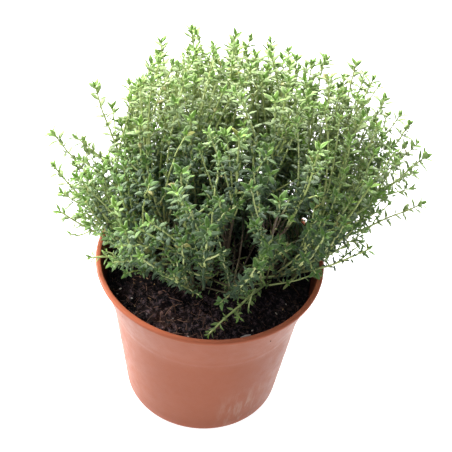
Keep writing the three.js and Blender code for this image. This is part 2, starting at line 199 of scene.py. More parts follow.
def mix(a, b, share):
    return a + (b - a) * share


def smoothstep(x, low, high):
    t = min(max((x - low) / (high - low), 0), 1)
    return t * t * (3 - 2 * t)


def unit(v):
    return v / np.linalg.norm(v)


def leaning(azimuth, lean):
    """The unit vector that leans away from upright towards an azimuth, both in degrees."""
    a, e = math.radians(azimuth), math.radians(lean)
    return np.array([math.sin(e) * math.cos(a), math.sin(e) * math.sin(a), math.cos(e)])


def peat_top(x, y):
    away = math.hypot(x - CROWN[0], y - CROWN[1]) / PEAT_MOUND_RADIUS
    waves = math.sin(x / PEAT_WAVE_X + PEAT_WAVE_PHASE) * math.cos(y / PEAT_WAVE_Y)
    ripples = PEAT_RIPPLE * math.sin((x - y) / PEAT_RIPPLE_LENGTH)
    return PEAT_LEVEL + PEAT_MOUND * math.exp(-away * away) + PEAT_UNEVEN * (waves + ripples)


# The CAD part's stems, found again
MASK = 0xFFFFFFFF
CURVE_SAMPLES = 201
BAR_CORNERS = 4
CORNER_TOLERANCE = 0.003


def part_random(seed):
    """The CAD part's repeatable source of numbers from 0 to 1."""
    state = seed & MASK

    def draw():
        nonlocal state
        state = (state + 0x6D2B79F5) & MASK
        t = state
        t = ((t ^ (t >> 15)) * (t | 1)) & MASK
        t ^= (t + (((t ^ (t >> 7)) * (t | 61)) & MASK)) & MASK
        return (t ^ (t >> 14)) / 4294967296

    return draw


def most_lean(azimuth):
    depth = math.sin(math.radians(azimuth))
    if depth < 0:
        return mix(LEAN_SIDE, LEAN_FRONT, math.sqrt(-depth))
    return mix(LEAN_SIDE, LEAN_BACK, depth * depth)


def reach_at(azimuth, lean):
    low = smoothstep(lean, *LOW_LEANS)
    forward = math.sqrt(max(0, -math.sin(math.radians(azimuth)))) * smoothstep(lean, *FORWARD_LEANS)
    return REACH * mix(1, REACH_LOW, low) * mix(1, FRONT_REACH, forward)


def tip_point(azimuth, lean, reach):
    return CROWN + leaning(azimuth, lean) * reach


def tip_places():
    places = list(OUTLINE_STEMS)
    outline = [tip_point(*p) for p in places]
    for i in range(INNER_STEMS):
        azimuth = (i * GOLDEN_ANGLE) % 360
        share = (i + 0.5) / INNER_STEMS
        cosine = 1 - share * (1 - math.cos(math.radians(most_lean(azimuth))))
        lean = math.degrees(math.acos(cosine))
        reach = reach_at(azimuth, lean) * mix(INNER_SHORTEST, 1, part_random(TIP_SEED + i)())
        tip = tip_point(azimuth, lean, reach)
        if all(np.linalg.norm(tip - other) > TIP_SPACING for other in outline):
            places.append((azimuth, lean, reach))
    return places


def rising_curve(place, draw):
    """A rising stem's foot, knee and tip."""
    azimuth, lean, reach = place
    out = math.sin(math.radians(lean)) / math.sin(math.radians(most_lean(azimuth)))
    spread = min(out, 1) * mix(CROWN_FILLED_TO, 1, draw())
    turned = math.radians(azimuth + mix(-FOOT_TURN, FOOT_TURN, draw()))
    x = CROWN[0] + CROWN_HALF_X * spread * math.cos(turned)
    y = CROWN[1] + CROWN_HALF_Y * spread * math.sin(turned)
    foot = np.array([x, y, peat_top(x, y)])
    bow = mix(BOW_UPRIGHT, BOW_LOW, smoothstep(lean, *BOW_LEANS))
    heading = azimuth + mix(-START_TURN, START_TURN, draw())
    start = leaning(heading, max(lean + bow, LEAST_START_LEAN))
    tip = tip_point(azimuth, lean, reach)
    knee = foot + start * KNEE_SHARE * np.linalg.norm(foot - tip)
    return np.array([foot - start * FOOT_DEPTH, knee, tip])


def trailing_curve(points):
    (x, y), knee, tip = points
    foot = np.array([x, y, peat_top(x, y)])
    start = unit(np.array(knee, float) - foot)
    return np.array([foot - start * FOOT_DEPTH, knee, tip], float)


def bezier(controls, shares):
    t = np.asarray(shares, float)[:, None]
    return (1 - t) ** 2 * controls[0] + 2 * t * (1 - t) * controls[1] + t * t * controls[2]


def run_along(points):
    return np.concatenate([[0], np.cumsum(np.linalg.norm(np.diff(points, axis=0), axis=1))])


def spaced(controls, steps):
    """Points at equal distances along the curve through a foot, a knee and a tip."""
    shares = np.linspace(0, 1, CURVE_SAMPLES)
    run = run_along(bezier(controls, shares))
    return bezier(controls, np.interp(np.linspace(0, run[-1], steps + 1), run, shares))


class PartBranch:
    """A branch of the CAD part: a line of straight pieces, and the frames that its square bar follows."""

    def __init__(self, joints, roll):
        self.joints, self.roll = joints, roll
        self.run = run_along(joints)
        self.steps = len(joints) - 1
        tangents = [self.direction(i / self.steps) for i in range(self.steps + 1)]
        axis = np.zeros(3)
        axis[2 - int(np.argmin(np.abs(tangents[0][::-1])))] = 1
        self.normals = [np.cross(tangents[0], unit(np.cross(tangents[0], axis)))]
        for a, b in zip(tangents, tangents[1:]):
            hinge = np.cross(a, b)
            normal = Vector(self.normals[-1])
            if np.linalg.norm(hinge) > 1e-9:
                angle = math.acos(min(max(float(a @ b), -1), 1))
                normal = Matrix.Rotation(angle, 3, Vector(unit(hinge))) @ normal
            self.normals.append(np.array(normal))
        self.binormals = [np.cross(t, n) for t, n in zip(tangents, self.normals)]

    def point(self, share):
        return np.array([np.interp(share * self.run[-1], self.run, self.joints[:, k]) for k in range(3)])

    def direction(self, share):
        return unit(self.point(min(share + 1e-4, 1)) - self.point(max(share - 1e-4, 0)))

    def tilted(self, share, turns, angle):
        """The direction that is tilted off the branch, towards the face that lies some quarter turns on."""
        stem = self.direction(share)
        step = int(share * self.steps)
        turn = self.roll + turns * math.pi / 2
        side = self.normals[step] * math.cos(turn) + self.binormals[step] * math.sin(turn)
        side = unit(side - stem * (side @ stem))
        return stem * math.cos(math.radians(angle)) + side * math.sin(math.radians(angle))


def part_stem(controls, draw):
    """The control points of a CAD stem's side shoots: root, knee and tip of each."""
    main = PartBranch(spaced(controls, STEM_STEPS), 2 * math.pi * draw())
    shoots = []
    for i, share in enumerate(SHOOT_PLACES):
        length = SHOOT_SHARE * main.run[-1] * mix(1 - SHOOT_VARIES, 1 + SHOOT_VARIES, draw())
        draw()
        root = main.point(share)
        knee = root + main.tilted(share, 2 * i, SHOOT_ANGLE + SHOOT_BEND) * length / 2
        tip = knee + main.tilted(share, 2 * i, SHOOT_ANGLE - SHOOT_BEND) * length / 2
        shoots.append(np.array([root, knee, tip]))
    return shoots


def corners_at(corners, centre, radius):
    """How many of a node's corners lie on a ball's surface, as the end of a bar does."""
    return int((np.abs(np.linalg.norm(corners - centre, axis=1) - radius) < CORNER_TOLERANCE).sum())


def found_stem(node, index, curve_for):
    """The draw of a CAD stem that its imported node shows, as its curve and its shoots' curves."""
    count = len(node.data.vertices)
    corners = np.empty(count * 3)
    node.data.vertices.foreach_get("co", corners)
    corners = corners.reshape(-1, 3) / MM
    best = (-1, None, None)
    for attempt in range(MOST_DRAWS):
        draw = part_random(STEM_SEED + index * MOST_DRAWS + attempt)
        controls = curve_for(draw)
        if best[1] is not None and corners_at(corners, controls[0], STEM_RADIUS) < BAR_CORNERS:
            continue
        shoots = part_stem(controls, draw)
        score = corners_at(corners, controls[0], STEM_RADIUS)
        score += sum(corners_at(corners, shoot[2], SHOOT_RADIUS) for shoot in shoots)
        if score > best[0]:
            best = (score, controls, shoots)
    return best[1:]


def new_piece(name, points, faces, materials, indices=None, attributes=None, smooth=True):
    """A mesh object from points in millimetres and triangles."""
    mesh = bpy.data.meshes.new(name)
    faces = np.asarray(faces, np.int32)
    mesh.vertices.add(len(points))
    mesh.vertices.foreach_set("co", (np.asarray(points, float) * MM).ravel())
    mesh.loops.add(faces.size)
    mesh.loops.foreach_set("vertex_index", faces.ravel())
    mesh.polygons.add(len(faces))
    mesh.polygons.foreach_set("loop_start", np.arange(0, faces.size, 3, dtype=np.int32))
    for material in materials:
        mesh.materials.append(material)
    if indices is not None:
        mesh.polygons.foreach_set("material_index", np.asarray(indices, np.int32))
    mesh.polygons.foreach_set("use_smooth", np.full(len(faces), smooth))
    for key, values in (attributes or {}).items():
        layer = mesh.attributes.new(key, "FLOAT_VECTOR", "POINT")
        layer.data.foreach_set("vector", np.asarray(values, float).ravel())
    mesh.validate()
    mesh.update()
    piece = bpy.data.objects.new(name, mesh)
    bpy.context.scene.collection.objects.link(piece)
    return piece


def ring_faces(rings, sides):
    """Triangles between rings of points, with a point before the first and one after the last."""
    k = np.arange(sides)
    after = (k + 1) % sides
    faces = [np.stack([np.zeros(sides, int), 1 + after, 1 + k], 1)]
    for r in range(rings - 1):
        a, b = 1 + r * sides, 1 + (r + 1) * sides
        faces.append(np.stack([a + k, a + after, b + after], 1))
        faces.append(np.stack([a + k, b + after, b + k], 1))
    last = 1 + (rings - 1) * sides
    faces.append(np.stack([last + k, last + after, np.full(sides, 1 + rings * sides)], 1))
    return np.concatenate(faces)


class Axis:
    """A smooth line with its run, its directions, and side directions that don't twist."""

    def __init__(self, points):
        self.points = np.asarray(points, float)
        self.run = run_along(self.points)
        self.length = self.run[-1]
        tangents = np.gradient(self.points, self.run, axis=0)
        self.tangents = tangents / np.linalg.norm(tangents, axis=1)[:, None]
        side = np.cross(self.tangents[0], [0.31, 0.87, 0.39])
        sides = []
        for t in self.tangents:
            side = unit(side - t * (side @ t))
            sides.append(side)
        self.sides = np.array(sides)

    def read(self, rows, along):
        return np.array([np.interp(along, self.run, rows[:, k]) for k in range(3)]).T

    def frame(self, along):
        """The point, direction, side and other side at a distance along the line."""
        point, tangent = self.read(self.points, along), unit(self.read(self.tangents, along))
        side = self.read(self.sides, along)
        side = unit(side - tangent * (side @ tangent))
        return point, tangent, side, np.cross(tangent, side)


def tube_along(axis, radii, sides, cap=0.0):
    """Points and triangles of a closed round tube, which ends a little past the line."""
    turn = np.linspace(0, 2 * math.pi, sides, endpoint=False)[:, None]
    side, other = axis.sides[:, None], np.cross(axis.tangents, axis.sides)[:, None]
    circles = (side * np.cos(turn) + other * np.sin(turn)) * np.asarray(radii)[:, None, None]
    rings = (axis.points[:, None] + circles).reshape(-1, 3)
    end = axis.points[-1:] + axis.tangents[-1:] * cap
    return np.concatenate([axis.points[:1], rings, end]), ring_faces(len(radii), sides)


def in_hollows(points):
    """Which points lie in one of the gaps that look from the front into the bush's dark middle."""
    inside = np.zeros(len(points), bool)
    for start, end, radius in HOLLOWS:
        a, b = np.array(start, float), np.array(end, float)
        share = np.clip((points - a) @ (b - a) / ((b - a) @ (b - a)), 0, 1)
        inside |= np.linalg.norm(points - a - share[:, None] * (b - a), axis=1) < radius
    return inside


def in_hollow(point):
    return bool(in_hollows(point[None])[0])


def from_crown(point):
    """A point's azimuth and lean in degrees and its distance, all from the crown."""
    away = point - CROWN
    distance = np.linalg.norm(away)
    lean = math.degrees(math.acos(min(max(away[2] / distance, -1), 1)))
    return math.degrees(math.atan2(away[1], away[0])), lean, distance


# Leaf sizes in parts of the bush, and the places in millimetres between which one size turns into another
INNER_LEAF = 1.1
FRONT_LEAF = 0.8
OUTER_LEAF = 1.06
LOW_BACK_LEAF = 1.24
FRONT_FADE = (-25, 15)
HIGH_FADE = (112, 170)
OUTER_FADE = (62, 100)
BACK_FADE = (18, 36)
LOW_FADE = (-156, -138)
SIDES_FADE = (-78, -52)
BACK_COUNTS = 0.45
OUTER_SHARES = (0.58, 1.0)
FAR_BACK = 35
DEEP_INSIDE = 0.1
HALF_OUT = 0.5
WOOD_NEAR = 32
WOOD_FADE = 34
FULL, SMALL, TINY = 0, 1, 2


def leaf_scale(place):
    """How large leaves grow at a place: small low at the front, full high up, larger low at the back."""
    x, y, z = place
    front = smoothstep(-y, *FRONT_FADE)
    away = max(smoothstep(z, *HIGH_FADE), smoothstep(np.linalg.norm(place - CROWN), *OUTER_FADE))
    low_back = smoothstep(y, *BACK_FADE) * smoothstep(-z, *LOW_FADE) * smoothstep(-abs(x), *SIDES_FADE)
    return mix(mix(INNER_LEAF, FRONT_LEAF, front), OUTER_LEAF, away) * mix(1, LOW_BACK_LEAF, low_back)


def outer_share(place):
    """How far out in the bush a place is, 0 in its dark middle and 1 at its sunlit outside."""
    # The leaf material paints shade on leaves with a low share and highlights on leaves with a high one.
    azimuth, lean, distance = from_crown(place)
    back = BACK_COUNTS * (place[1] - CROWN[1]) / distance
    return smoothstep(distance / reach_at(azimuth, lean) + back, *OUTER_SHARES)


class Gathered:
    """Points and triangles, gathered before one mesh is made of them."""

    def __init__(self):
        self.points, self.faces, self.count = [], [], 0

    def gather(self, points, faces):
        self.points.append(points)
        self.faces.append(faces + self.count)
        self.count += len(points)


class Plant(Gathered):
    """What one leafy stem is made of: tubes, and leaves that are noted down and grown at the end."""

    # least_outer keeps leaves that lie in the bush's shade out of the painted inner shade and gives them the
    # painted highlight.
    def __init__(self, leaf_width=1.0, least_young=0.0, least_outer=0.0, keeps_clear=True):
        super().__init__()
        self.indices, self.leaf, self.age, self.leaves = [], [], [], []
        self.leaf_width, self.keeps_clear = leaf_width, keeps_clear
        self.least_young, self.least_outer = least_young, least_outer

    def add(self, points, faces, index, leaf, age):
        self.gather(points, faces)
        self.indices.append(np.full(len(faces), index))
        self.leaf.append(leaf)
        self.age.append(age)

    def tube(self, axis, radii, sides, tone, fresh=False):
        """A closed round stem, woody near the crown unless it is a fresh one, and given the dark wood colour
        in the hollows as painted shade.
        """
        points, faces = tube_along(axis, radii, sides, radii[-1])
        green = np.clip((np.linalg.norm(axis.points - CROWN, axis=1) - WOOD_NEAR) / WOOD_FADE, 0, 1)
        # In the hollows a stem takes the dark wood colour as painted shade.
        green = np.ones(len(radii)) if fresh else np.where(in_hollows(axis.points), 0.0, green)
        greens = np.concatenate([[green[0]], np.repeat(green, sides), [green[-1]]])
        age = np.stack([greens, np.full(len(points), tone), np.zeros(len(points))], 1)
        self.add(points, faces, 1, np.zeros((len(points), 3)), age)

    def leaf_at(self, root, along, up, length, young, tone, kind):
        """Notes down a leaf, of a simpler kind where it is hardly seen. A hollow stays clear of leaves."""
        length *= leaf_scale(root)
        if self.keeps_clear and in_hollow(root + along * length * 0.5):
            return
        young, outer = max(young, self.least_young), max(outer_share(root), self.least_outer)
        hidden = root[1] > FAR_BACK or outer < DEEP_INSIDE or (root[1] > 0 and outer < HALF_OUT)
        if kind == SMALL and hidden:
            kind = TINY
        elif kind == FULL and root[1] > FAR_BACK:
            kind = SMALL
        self.leaves.append((root, along, up, length, young, tone, kind, self.leaf_width, outer))

    def grow_leaves(self, rng):
        """Turns the noted leaves into geometry, each one of a few blades."""
        groups = {}
        for leaf in self.leaves:
            variant = rng.randrange(len(BLADE_KINDS[leaf[6]]))
            groups.setdefault((leaf[6], variant), []).append(leaf)
        for (kind, variant), leaves in sorted(groups.items()):
            points, faces, values = BLADE_KINDS[kind][variant]
            columns = (np.array(column) for column in zip(*leaves))
            root, along, up, length, young, tone, _, width, outer = columns
            across = np.cross(up, along) * width[:, None]
            turned = np.einsum("nij,kj->nki", np.stack([along, across, up], 2), points)
            placed = root[:, None] + turned * length[:, None, None]
            n, k = len(leaves), len(points)
            joined = (faces[None] + (np.arange(n) * k)[:, None, None]).reshape(-1, 3)
            # The third value, the outer share, drives the painted shade and the painted highlight in the leaf
            # material.
            age = np.stack([np.repeat(young, k), np.repeat(tone, k), np.repeat(outer, k)], 1)
            self.add(placed.reshape(-1, 3), joined, 0, np.tile(values, (n, 1)), age)

    def piece(self, name):
        lists = (self.points, self.faces, self.indices, self.leaf, self.age)
        points, faces, indices, leaf, age = map(np.concatenate, lists)
        materials = [leaf_material, stem_material]
        return new_piece(name, points, faces, materials, indices, {"leaf": leaf, "age": age})


# Leaf blades: the shares of the length at which they are cut, the widths there, their section as places
# across and the side that faces up, how many are made and the seed, for full, small and tiny ones
LEAF_SECTION = ((-1, 0), (-0.55, 1), (0, 1), (0.55, 1), (1, 0), (0, -1))
SMALL_SECTION = ((-1, 0), (0, 1), (1, 0), (0, -1))
BLADE_SHAPES = (
    ((0.15, 0.44, 0.8), (0.42, 1.0, 0.54), LEAF_SECTION, 12, 5),
    ((0.15, 0.45, 0.82), (0.4, 1.0, 0.5), SMALL_SECTION, 8, 6),
    ((0.32, 0.74), (0.9, 0.66), SMALL_SECTION, 8, 7),
)
BLADE_RANGES = {
    "ratio": (0.41, 0.55), "arch": (0.02, 0.08), "fold": (0.2, 0.6),
    "droop": (-0.04, 0.2), "roll": (0.05, 0.35), "twist": (-0.3, 0.3),
}
LEAF_THICKNESS = 0.06
UPPER_THICKNESS = 0.5
UNDER_THICKNESS = 0.8
GROOVE_THICKNESS = 0.3


def blade(stations, widths, section, ratio, arch, fold, droop, roll, twist):
    """A leaf blade of length 1 along X, facing Z: its points, its triangles, and for the material how far
    across and along each point is and whether it is on the underside."""
    rows, values = [(0, 0, 0)], [(0, 0, 0)]
    for s, w in zip(stations, widths):
        half = ratio / 2 * w
        spine = arch * 4 * s * (1 - s) - droop * s * s
        cosine, sine = math.cos(twist * s), math.sin(twist * s)
        for y, side in section:
            lift = fold * abs(y) * half - roll * half * abs(y) ** 4
            thick = LEAF_THICKNESS * (UPPER_THICKNESS if side > 0 else UNDER_THICKNESS)
            thick *= side * (0.35 + 0.65 * w)
            if y == 0 and side > 0:
                thick *= GROOVE_THICKNESS
            across, height = y * half, lift + thick
            rows.append((s, across * cosine - height * sine, spine + (across * sine + height * cosine)))
            values.append((y, s, 1.0 if side < 0 else 0.0))
    rows.append((1, 0, -droop))
    values.append((0, 1, 0))
    return np.array(rows, float), ring_faces(len(stations), len(section)), np.array(values, float)


def blades(stations, widths, section, count, seed):
    rng = random.Random(seed)
    draws = [{key: rng.uniform(*ends) for key, ends in BLADE_RANGES.items()} for _ in range(count)]
    return [blade(stations, widths, section, **drawn) for drawn in draws]


BLADE_KINDS = [blades(*shape) for shape in BLADE_SHAPES]

# How a stem is clothed: gaps before the pairs of leaves from the tip down, their sizes and their angles
LEAF_LENGTH = 5.1
PAIR_GAPS = (0.7, 1.4, 2.5, 3.6, 4.5, 5.2, 5.6)
PAIR_SIZES = (0.62, 0.94, 1.08, 1.1, 1.06, 1.02, 0.98)
PAIR_ANGLES = (20, 40, 50, 55, 60, 64, 68)
FIRST_PAIR = 0.2
YOUNG_UNTIL = 1.0
YOUNG_FADE = 5.0
BARE_FADE = 22
LOW_LEAF = 0.75
LENGTH_VARIES = (0.84, 1.14)
GAP_VARIES = (0.85, 1.15)
GROWS = 0.96
LOW_LOSS = 0.3
OLD_PAIR, OLD_SPREAD = 8, 8
ANGLE_SCATTER = 7
TURN_SCATTER = 0.12
LEAF_SCATTER = 0.09
LEAF_SAG = 0.1
SKYWARD = 0.45
TUFT_PAIRS = ((30, 0.62), (58, 0.9))
TUFT_BAR_FROM = 1.4
TUFT_LENGTHS = (0.3, 1.9)
TUFT_LEAF = 0.6
UP = np.array([0.0, 0.0, 1.0])


def facing(along, up, share):
    """The leaf's upper face turned part of the way to the sky."""
    sky = UP - along * along[2]
    turned = up * (1 - share) + sky * share
    turned = turned - along * (turned @ along)
    return unit(turned)


def put_leaf(plant, rng, base, tangent, side, angle, length, young, radius, kind):
    """A leaf at an angle off a stem. Old ones sag, and all turn some way to the sky."""
    a = math.radians(angle)
    scatter = np.array([rng.gauss(0, LEAF_SCATTER) for _ in range(3)])
    along = unit(tangent * math.cos(a) + side * math.sin(a) + (scatter - UP * (LEAF_SAG * (1 - young))))
    up = tangent * math.sin(a) - side * math.cos(a)
    up = facing(along, unit(up - along * (up @ along)), SKYWARD * (1 - 0.6 * young))
    plant.leaf_at(base + side * radius * 0.6, along, up, length, young, rng.random(), kind)


def tuft(plant, rng, base, tangent, side, size, young):
    """The cluster of small leaves in a leaf's axil, on a short shoot of its own."""
    out = unit(tangent * 0.72 + side * 0.7)
    length = size * rng.uniform(*TUFT_LENGTHS)
    if length > TUFT_BAR_FROM:
        plant.tube(Axis([base, base + out * length]), [0.26, 0.2], 3, rng.random(), True)
    top = base + out * length
    across = unit(np.cross(out, UP + side * 0.3))
    other = np.cross(out, across)
    turn = rng.uniform(0, math.pi)
    for angle, share in TUFT_PAIRS:
        for half in (0, math.pi):
            away = across * math.cos(turn + half) + other * math.sin(turn + half)
            leaf = LEAF_LENGTH * size * share * TUFT_LEAF * rng.uniform(0.75, 1.2)
            put_leaf(plant, rng, top, out, away, angle, leaf, young, 0.1, TINY)
        turn += math.pi / 2
        top = top - out * length * 0.3


def clothe(plant, rng, axis, radius_at, size, gap, tufts, bare, fine=0.5):
    """Opposite pairs of leaves from the tip down, and tufts in their axils. Returns the pairs' places."""
    places = []
    turn = rng.uniform(0, 2 * math.pi)
    back, k = FIRST_PAIR, 0
    while axis.length - back > bare:
        where = axis.length - back
        point, tangent, side, other = axis.frame(where)
        level = min(k, len(PAIR_SIZES) - 1)
        young = math.exp(-max(back - YOUNG_UNTIL, 0) / YOUNG_FADE)
        low = smoothstep(where, bare, bare + BARE_FADE)
        length = LEAF_LENGTH * size * PAIR_SIZES[level] * mix(LOW_LEAF, 1, low) * rng.uniform(*LENGTH_VARIES)
        kind = FULL if back < axis.length * fine else SMALL
        for half in (0, math.pi):
            away = side * math.cos(turn + half) + other * math.sin(turn + half)
            if rng.random() < GROWS - LOW_LOSS * (1 - low):
                angle = PAIR_ANGLES[level] + rng.gauss(0, ANGLE_SCATTER)
                angle += OLD_SPREAD if k > OLD_PAIR else 0
                put_leaf(plant, rng, point, tangent, away, angle, length, young, radius_at(where), kind)
            if k > 2 and rng.random() < tufts * mix(0.4, 1, low):
                small = size * rng.uniform(0.8, 1.1)
                tuft(plant, rng, point, tangent, away, small, mix(0.2, 0.6, rng.random()))
        places.append((where, turn))
        back += PAIR_GAPS[level] * gap * rng.uniform(*GAP_VARIES)
        turn += math.pi / 2 + rng.gauss(0, TURN_SCATTER)
        k += 1
    return places


def branch(plant, rng, controls, radius, steps, size, gap, tufts,
           wobble=0.25, bare=3.0, fine=0.5, sides=5, fresh=False):
    """A clothed side branch along a curve. Returns its line and the places of its leaves."""
    points = spaced(controls, steps)
    points[1:-1] += np.array([[rng.gauss(0, wobble) for _ in range(3)] for _ in range(len(points) - 2)])
    axis = Axis(points)
    radii = np.linspace(radius, radius * 0.62, len(points))
    plant.tube(axis, radii, sides, rng.random(), fresh)
    return axis, clothe(plant, rng, axis, lambda _: radius * 0.8, size, gap, tufts, bare, fine)


def in_view(point):
    """Where a point is seen from the front, across and up from the crown."""
    away = point - CROWN
    return away @ np.array(CAMERA_RIGHT), away @ np.array(CAMERA_UP)


def outline_angle(point):
    """Where a point is seen from the front, as an angle and a distance from the crown."""
    across, up = in_view(point)
    return math.degrees(math.atan2(up, across)), math.hypot(across, up)


def fitted_reach(azimuth, lean, share):
    """The reach of a tip at a share of the bush's depth there, held inside the outline's tips."""
    reach = reach_at(azimuth, lean) * share
    angle, distance = outline_angle(tip_point(azimuth, lean, reach))
    seen = sorted(outline_angle(tip_point(*stem)) for stem in OUTLINE_STEMS)
    angles, distances = zip(*seen)
    if angles[0] < angle < angles[-1]:
        notch = NOTCH_DEPTH * math.exp(-(((angle - NOTCH_ANGLE) / NOTCH_WIDTH) ** 2))
        limit = np.interp(angle, angles, distances) * share * (1 - notch)
        reach *= min(1, limit / distance)
    return reach


class Cover:
    """How thickly the stems cover the bush as it is seen from the front, in small cells."""

    def __init__(self):
        self.cells = {}

    def spots(self, tip):
        base = mix(CROWN, tip, COVER_FROM)
        for share in np.linspace(0, 1, COVER_SPOTS):
            across, up = in_view(mix(base, tip, share))
            yield math.floor(across / COVER_CELL), math.floor(up / COVER_CELL)

    def add(self, tip):
        for i, j in self.spots(tip):
            for a in (-1, 0, 1):
                for b in (-1, 0, 1):
                    share = 0.5 ** (abs(a) + abs(b))
                    self.cells[i + a, j + b] = self.cells.get((i + a, j + b), 0) + share

    def over(self, tip):
        return sum(self.cells.get(spot, 0) for spot in self.spots(tip))


def filler_tips(taken):
    """The tips of the rosettes, and those of each field, put where stems cover the bush least so far."""
    rng = random.Random(FILLER_SEED)
    tips = [tip_point(*place) for place in FRONT_ROSETTES + EDGE_ROSETTES]
    others = np.array(list(taken) + tips + [stem[2] for stem in FRONT_STEMS], float)
    cover = Cover()
    for tip in others:
        cover.add(tip)
    for count, first, span, least, high, near, far, past in FILLER_FIELDS:
        for i in range(count):
            azimuth = (first + (i * GOLDEN_ANGLE) % 360 / 360 * span) % 360
            most = min(most_lean(azimuth) + past - (FRONT_LESS if azimuth > 180 else 0), high)
            share = (i + 0.5) / count
            cosine = mix(math.cos(math.radians(least)), math.cos(math.radians(most)), share)
            lean = math.degrees(math.acos(cosine))
            best = None
            for _ in range(FILLER_TRIES):
                turn = azimuth + rng.uniform(-FILLER_TURN, FILLER_TURN)
                tilt = lean + rng.uniform(-FILLER_TILT, FILLER_TILT)
                low = smoothstep(tilt, *LOW_FILLER_LEANS)
                share_out = rng.uniform(near, far) * mix(1, LOW_FILLER_REACH, low)
                tip = tip_point(turn, tilt, fitted_reach(turn, tilt, share_out))
                if in_hollow(tip) or min(np.linalg.norm(others - tip, axis=1)) < FILLER_SPACING:
                    continue
                if best is None or cover.over(tip) < best[0]:
                    best = (cover.over(tip), tip)
            if best:
                tips.append(best[1])
                others = np.append(others, [best[1]], axis=0)
                cover.add(best[1])
    return tips


# Forks: the shares of a CAD stem's length at which they may be, the bend that is best, and what else counts
# against one: its length, its height on the stem, hollows on the way, and forks that are there
FORK_SHARES = (0.22, 0.58, 10)
BEST_BEND = 16
LENGTH_COST = 0.12
HEIGHT_COST = 10
HOLLOW_COST = 7
HOLLOW_SHARES = (0.05, 0.9, 9)
SHARED_STEM_COST = 4
SHARED_PLACE_COST = 6
SAME_PLACE = 0.03
SHORTEST_FILLER = 24
LOWEST_FORK = 88


class Forks:
    """Every place on the CAD part's stems from which a filler stem could rise."""

    def __init__(self, axes):
        self.places = [(k, share) for k in range(len(axes)) for share in np.linspace(*FORK_SHARES)]
        frames = [axes[k].frame(share * axes[k].length) for k, share in self.places]
        self.points = np.array([f[0] for f in frames])
        self.tangents = np.array([f[1] for f in frames])
        self.cost = np.array([HEIGHT_COST * share for _, share in self.places])

    def best(self, tip):
        """The stem and the place that reach the tip with the least bend and outside the hollows."""
        away = tip - self.points
        length = np.linalg.norm(away, axis=1)
        bend = np.degrees(np.arccos(np.clip((self.tangents * away).sum(1) / length, -1, 1)))
        cost = abs(bend - BEST_BEND) + LENGTH_COST * length + self.cost
        for share in np.linspace(*HOLLOW_SHARES):
            cost += HOLLOW_COST * in_hollows(self.points + away * share)
        cost[(length < SHORTEST_FILLER) | (self.points[:, 2] < LOWEST_FORK)] = math.inf
        k, share = self.places[int(np.argmin(cost))]
        for i, (other, place) in enumerate(self.places):
            if other == k:
                self.cost[i] += SHARED_STEM_COST + SHARED_PLACE_COST * (abs(place - share) < SAME_PLACE)
        return k, share


# Sprigs and filler stems: where on a stem sprigs grow, how they turn up, how far out they may end, and the
# sizes of leaves and widths of stems
SPRIG_SHARES = (0.2, 0.9)
SPRIG_SHORTEST = 5
SPRIG_RADIUS = 0.27
SPRIG_SIZES = (0.7, 0.92)
SPRIG_GAP = 0.7
PEAT_CLEAR = 89
LIP_CLEAR = 98
RIM_CLEAR = 64
MOST_OUT = 0.97
FILLER_RADII = (0.38, 0.56, 90)
FILLER_STEP = 5
FILLER_SIZES = (0.84, 1.04)
FILLER_GAPS = (0.8, 1.15)
FRONT_WIDTH = 0.8
FRONT_RADIUS = 0.58
FRONT_SIZES = (0.8, 0.94)
FRONT_GAPS = (1.0, 1.2)
RUNNER_RADII = (0.5, 0.32)
RUNNER_BARE = (0.35, 0.6)
STEM_PLACES = (0, 0.2, 0.6, 1)
STEM_WIDTHS = (0.95, 0.74, 0.6, 0.38)
TRAILING_WIDTHS = (0.75, 0.72, 0.66, 0.46)


def sprigs(plant, rng, axis, places, share, most):
    """Short side shoots in the axils of some share of the leaves, up to a most length."""
    usable = [p for p in places if SPRIG_SHARES[0] < p[0] / axis.length < SPRIG_SHARES[1]]
    for where, turn in rng.sample(usable, min(len(usable), int(len(usable) * share + 0.5))):
        root, tangent, side, other = axis.frame(where)
        turn += rng.choice((0, math.pi))
        away = side * math.cos(turn) + other * math.sin(turn)
        length = rng.uniform(SPRIG_SHORTEST, most) * (1.15 - 0.5 * where / axis.length)
        start = unit(tangent * 0.7 + away * 0.7)
        later = unit(tangent * 0.9 + away * 0.25 + UP * 0.35)
        knee = root + start * length * 0.5
        tip = knee + later * length * 0.5
        if in_hollow(tip) or not inside_bush(tip):
            continue
        controls, size = np.array([root, knee, tip]), rng.uniform(*SPRIG_SIZES)
        branch(plant, rng, controls, SPRIG_RADIUS, 3, size, SPRIG_GAP, 0.0, bare=2.5, fine=0, sides=4)


def inside_bush(point):
    """Whether a point stays within the bush's reach and off the peat and the pot."""
    azimuth, lean, distance = from_crown(point)
    clear = point[2] > (PEAT_CLEAR if math.hypot(point[0], point[1]) < RIM_CLEAR else LIP_CLEAR)
    return clear and distance < fitted_reach(azimuth, lean, MOST_OUT)


def filler_stem(plant, rng, axis, share, tip):
    """A stem that forks off another at a share of its length and ends at a tip."""
    root, tangent, _, _ = axis.frame(share * axis.length)
    away = tip - root
    length = np.linalg.norm(away)
    start = unit(tangent * 0.5 + away / length * 0.6)
    knee = root + start * length * 0.5 + UP * 0.02 * length
    steps = max(5, int(length / FILLER_STEP))
    thin, thick, longest = FILLER_RADII
    line, places = branch(
        plant, rng, np.array([root, knee, tip]), mix(thin, thick, min(length / longest, 1)), steps,
        size=rng.uniform(*FILLER_SIZES), gap=rng.uniform(*FILLER_GAPS),
        tufts=0.4 if tip[2] < 150 and tip[1] < 10 else 0.52, wobble=0.16, bare=length * 0.16, fine=0.1,
    )
    sprigs(plant, rng, line, places, 0.14, 11)


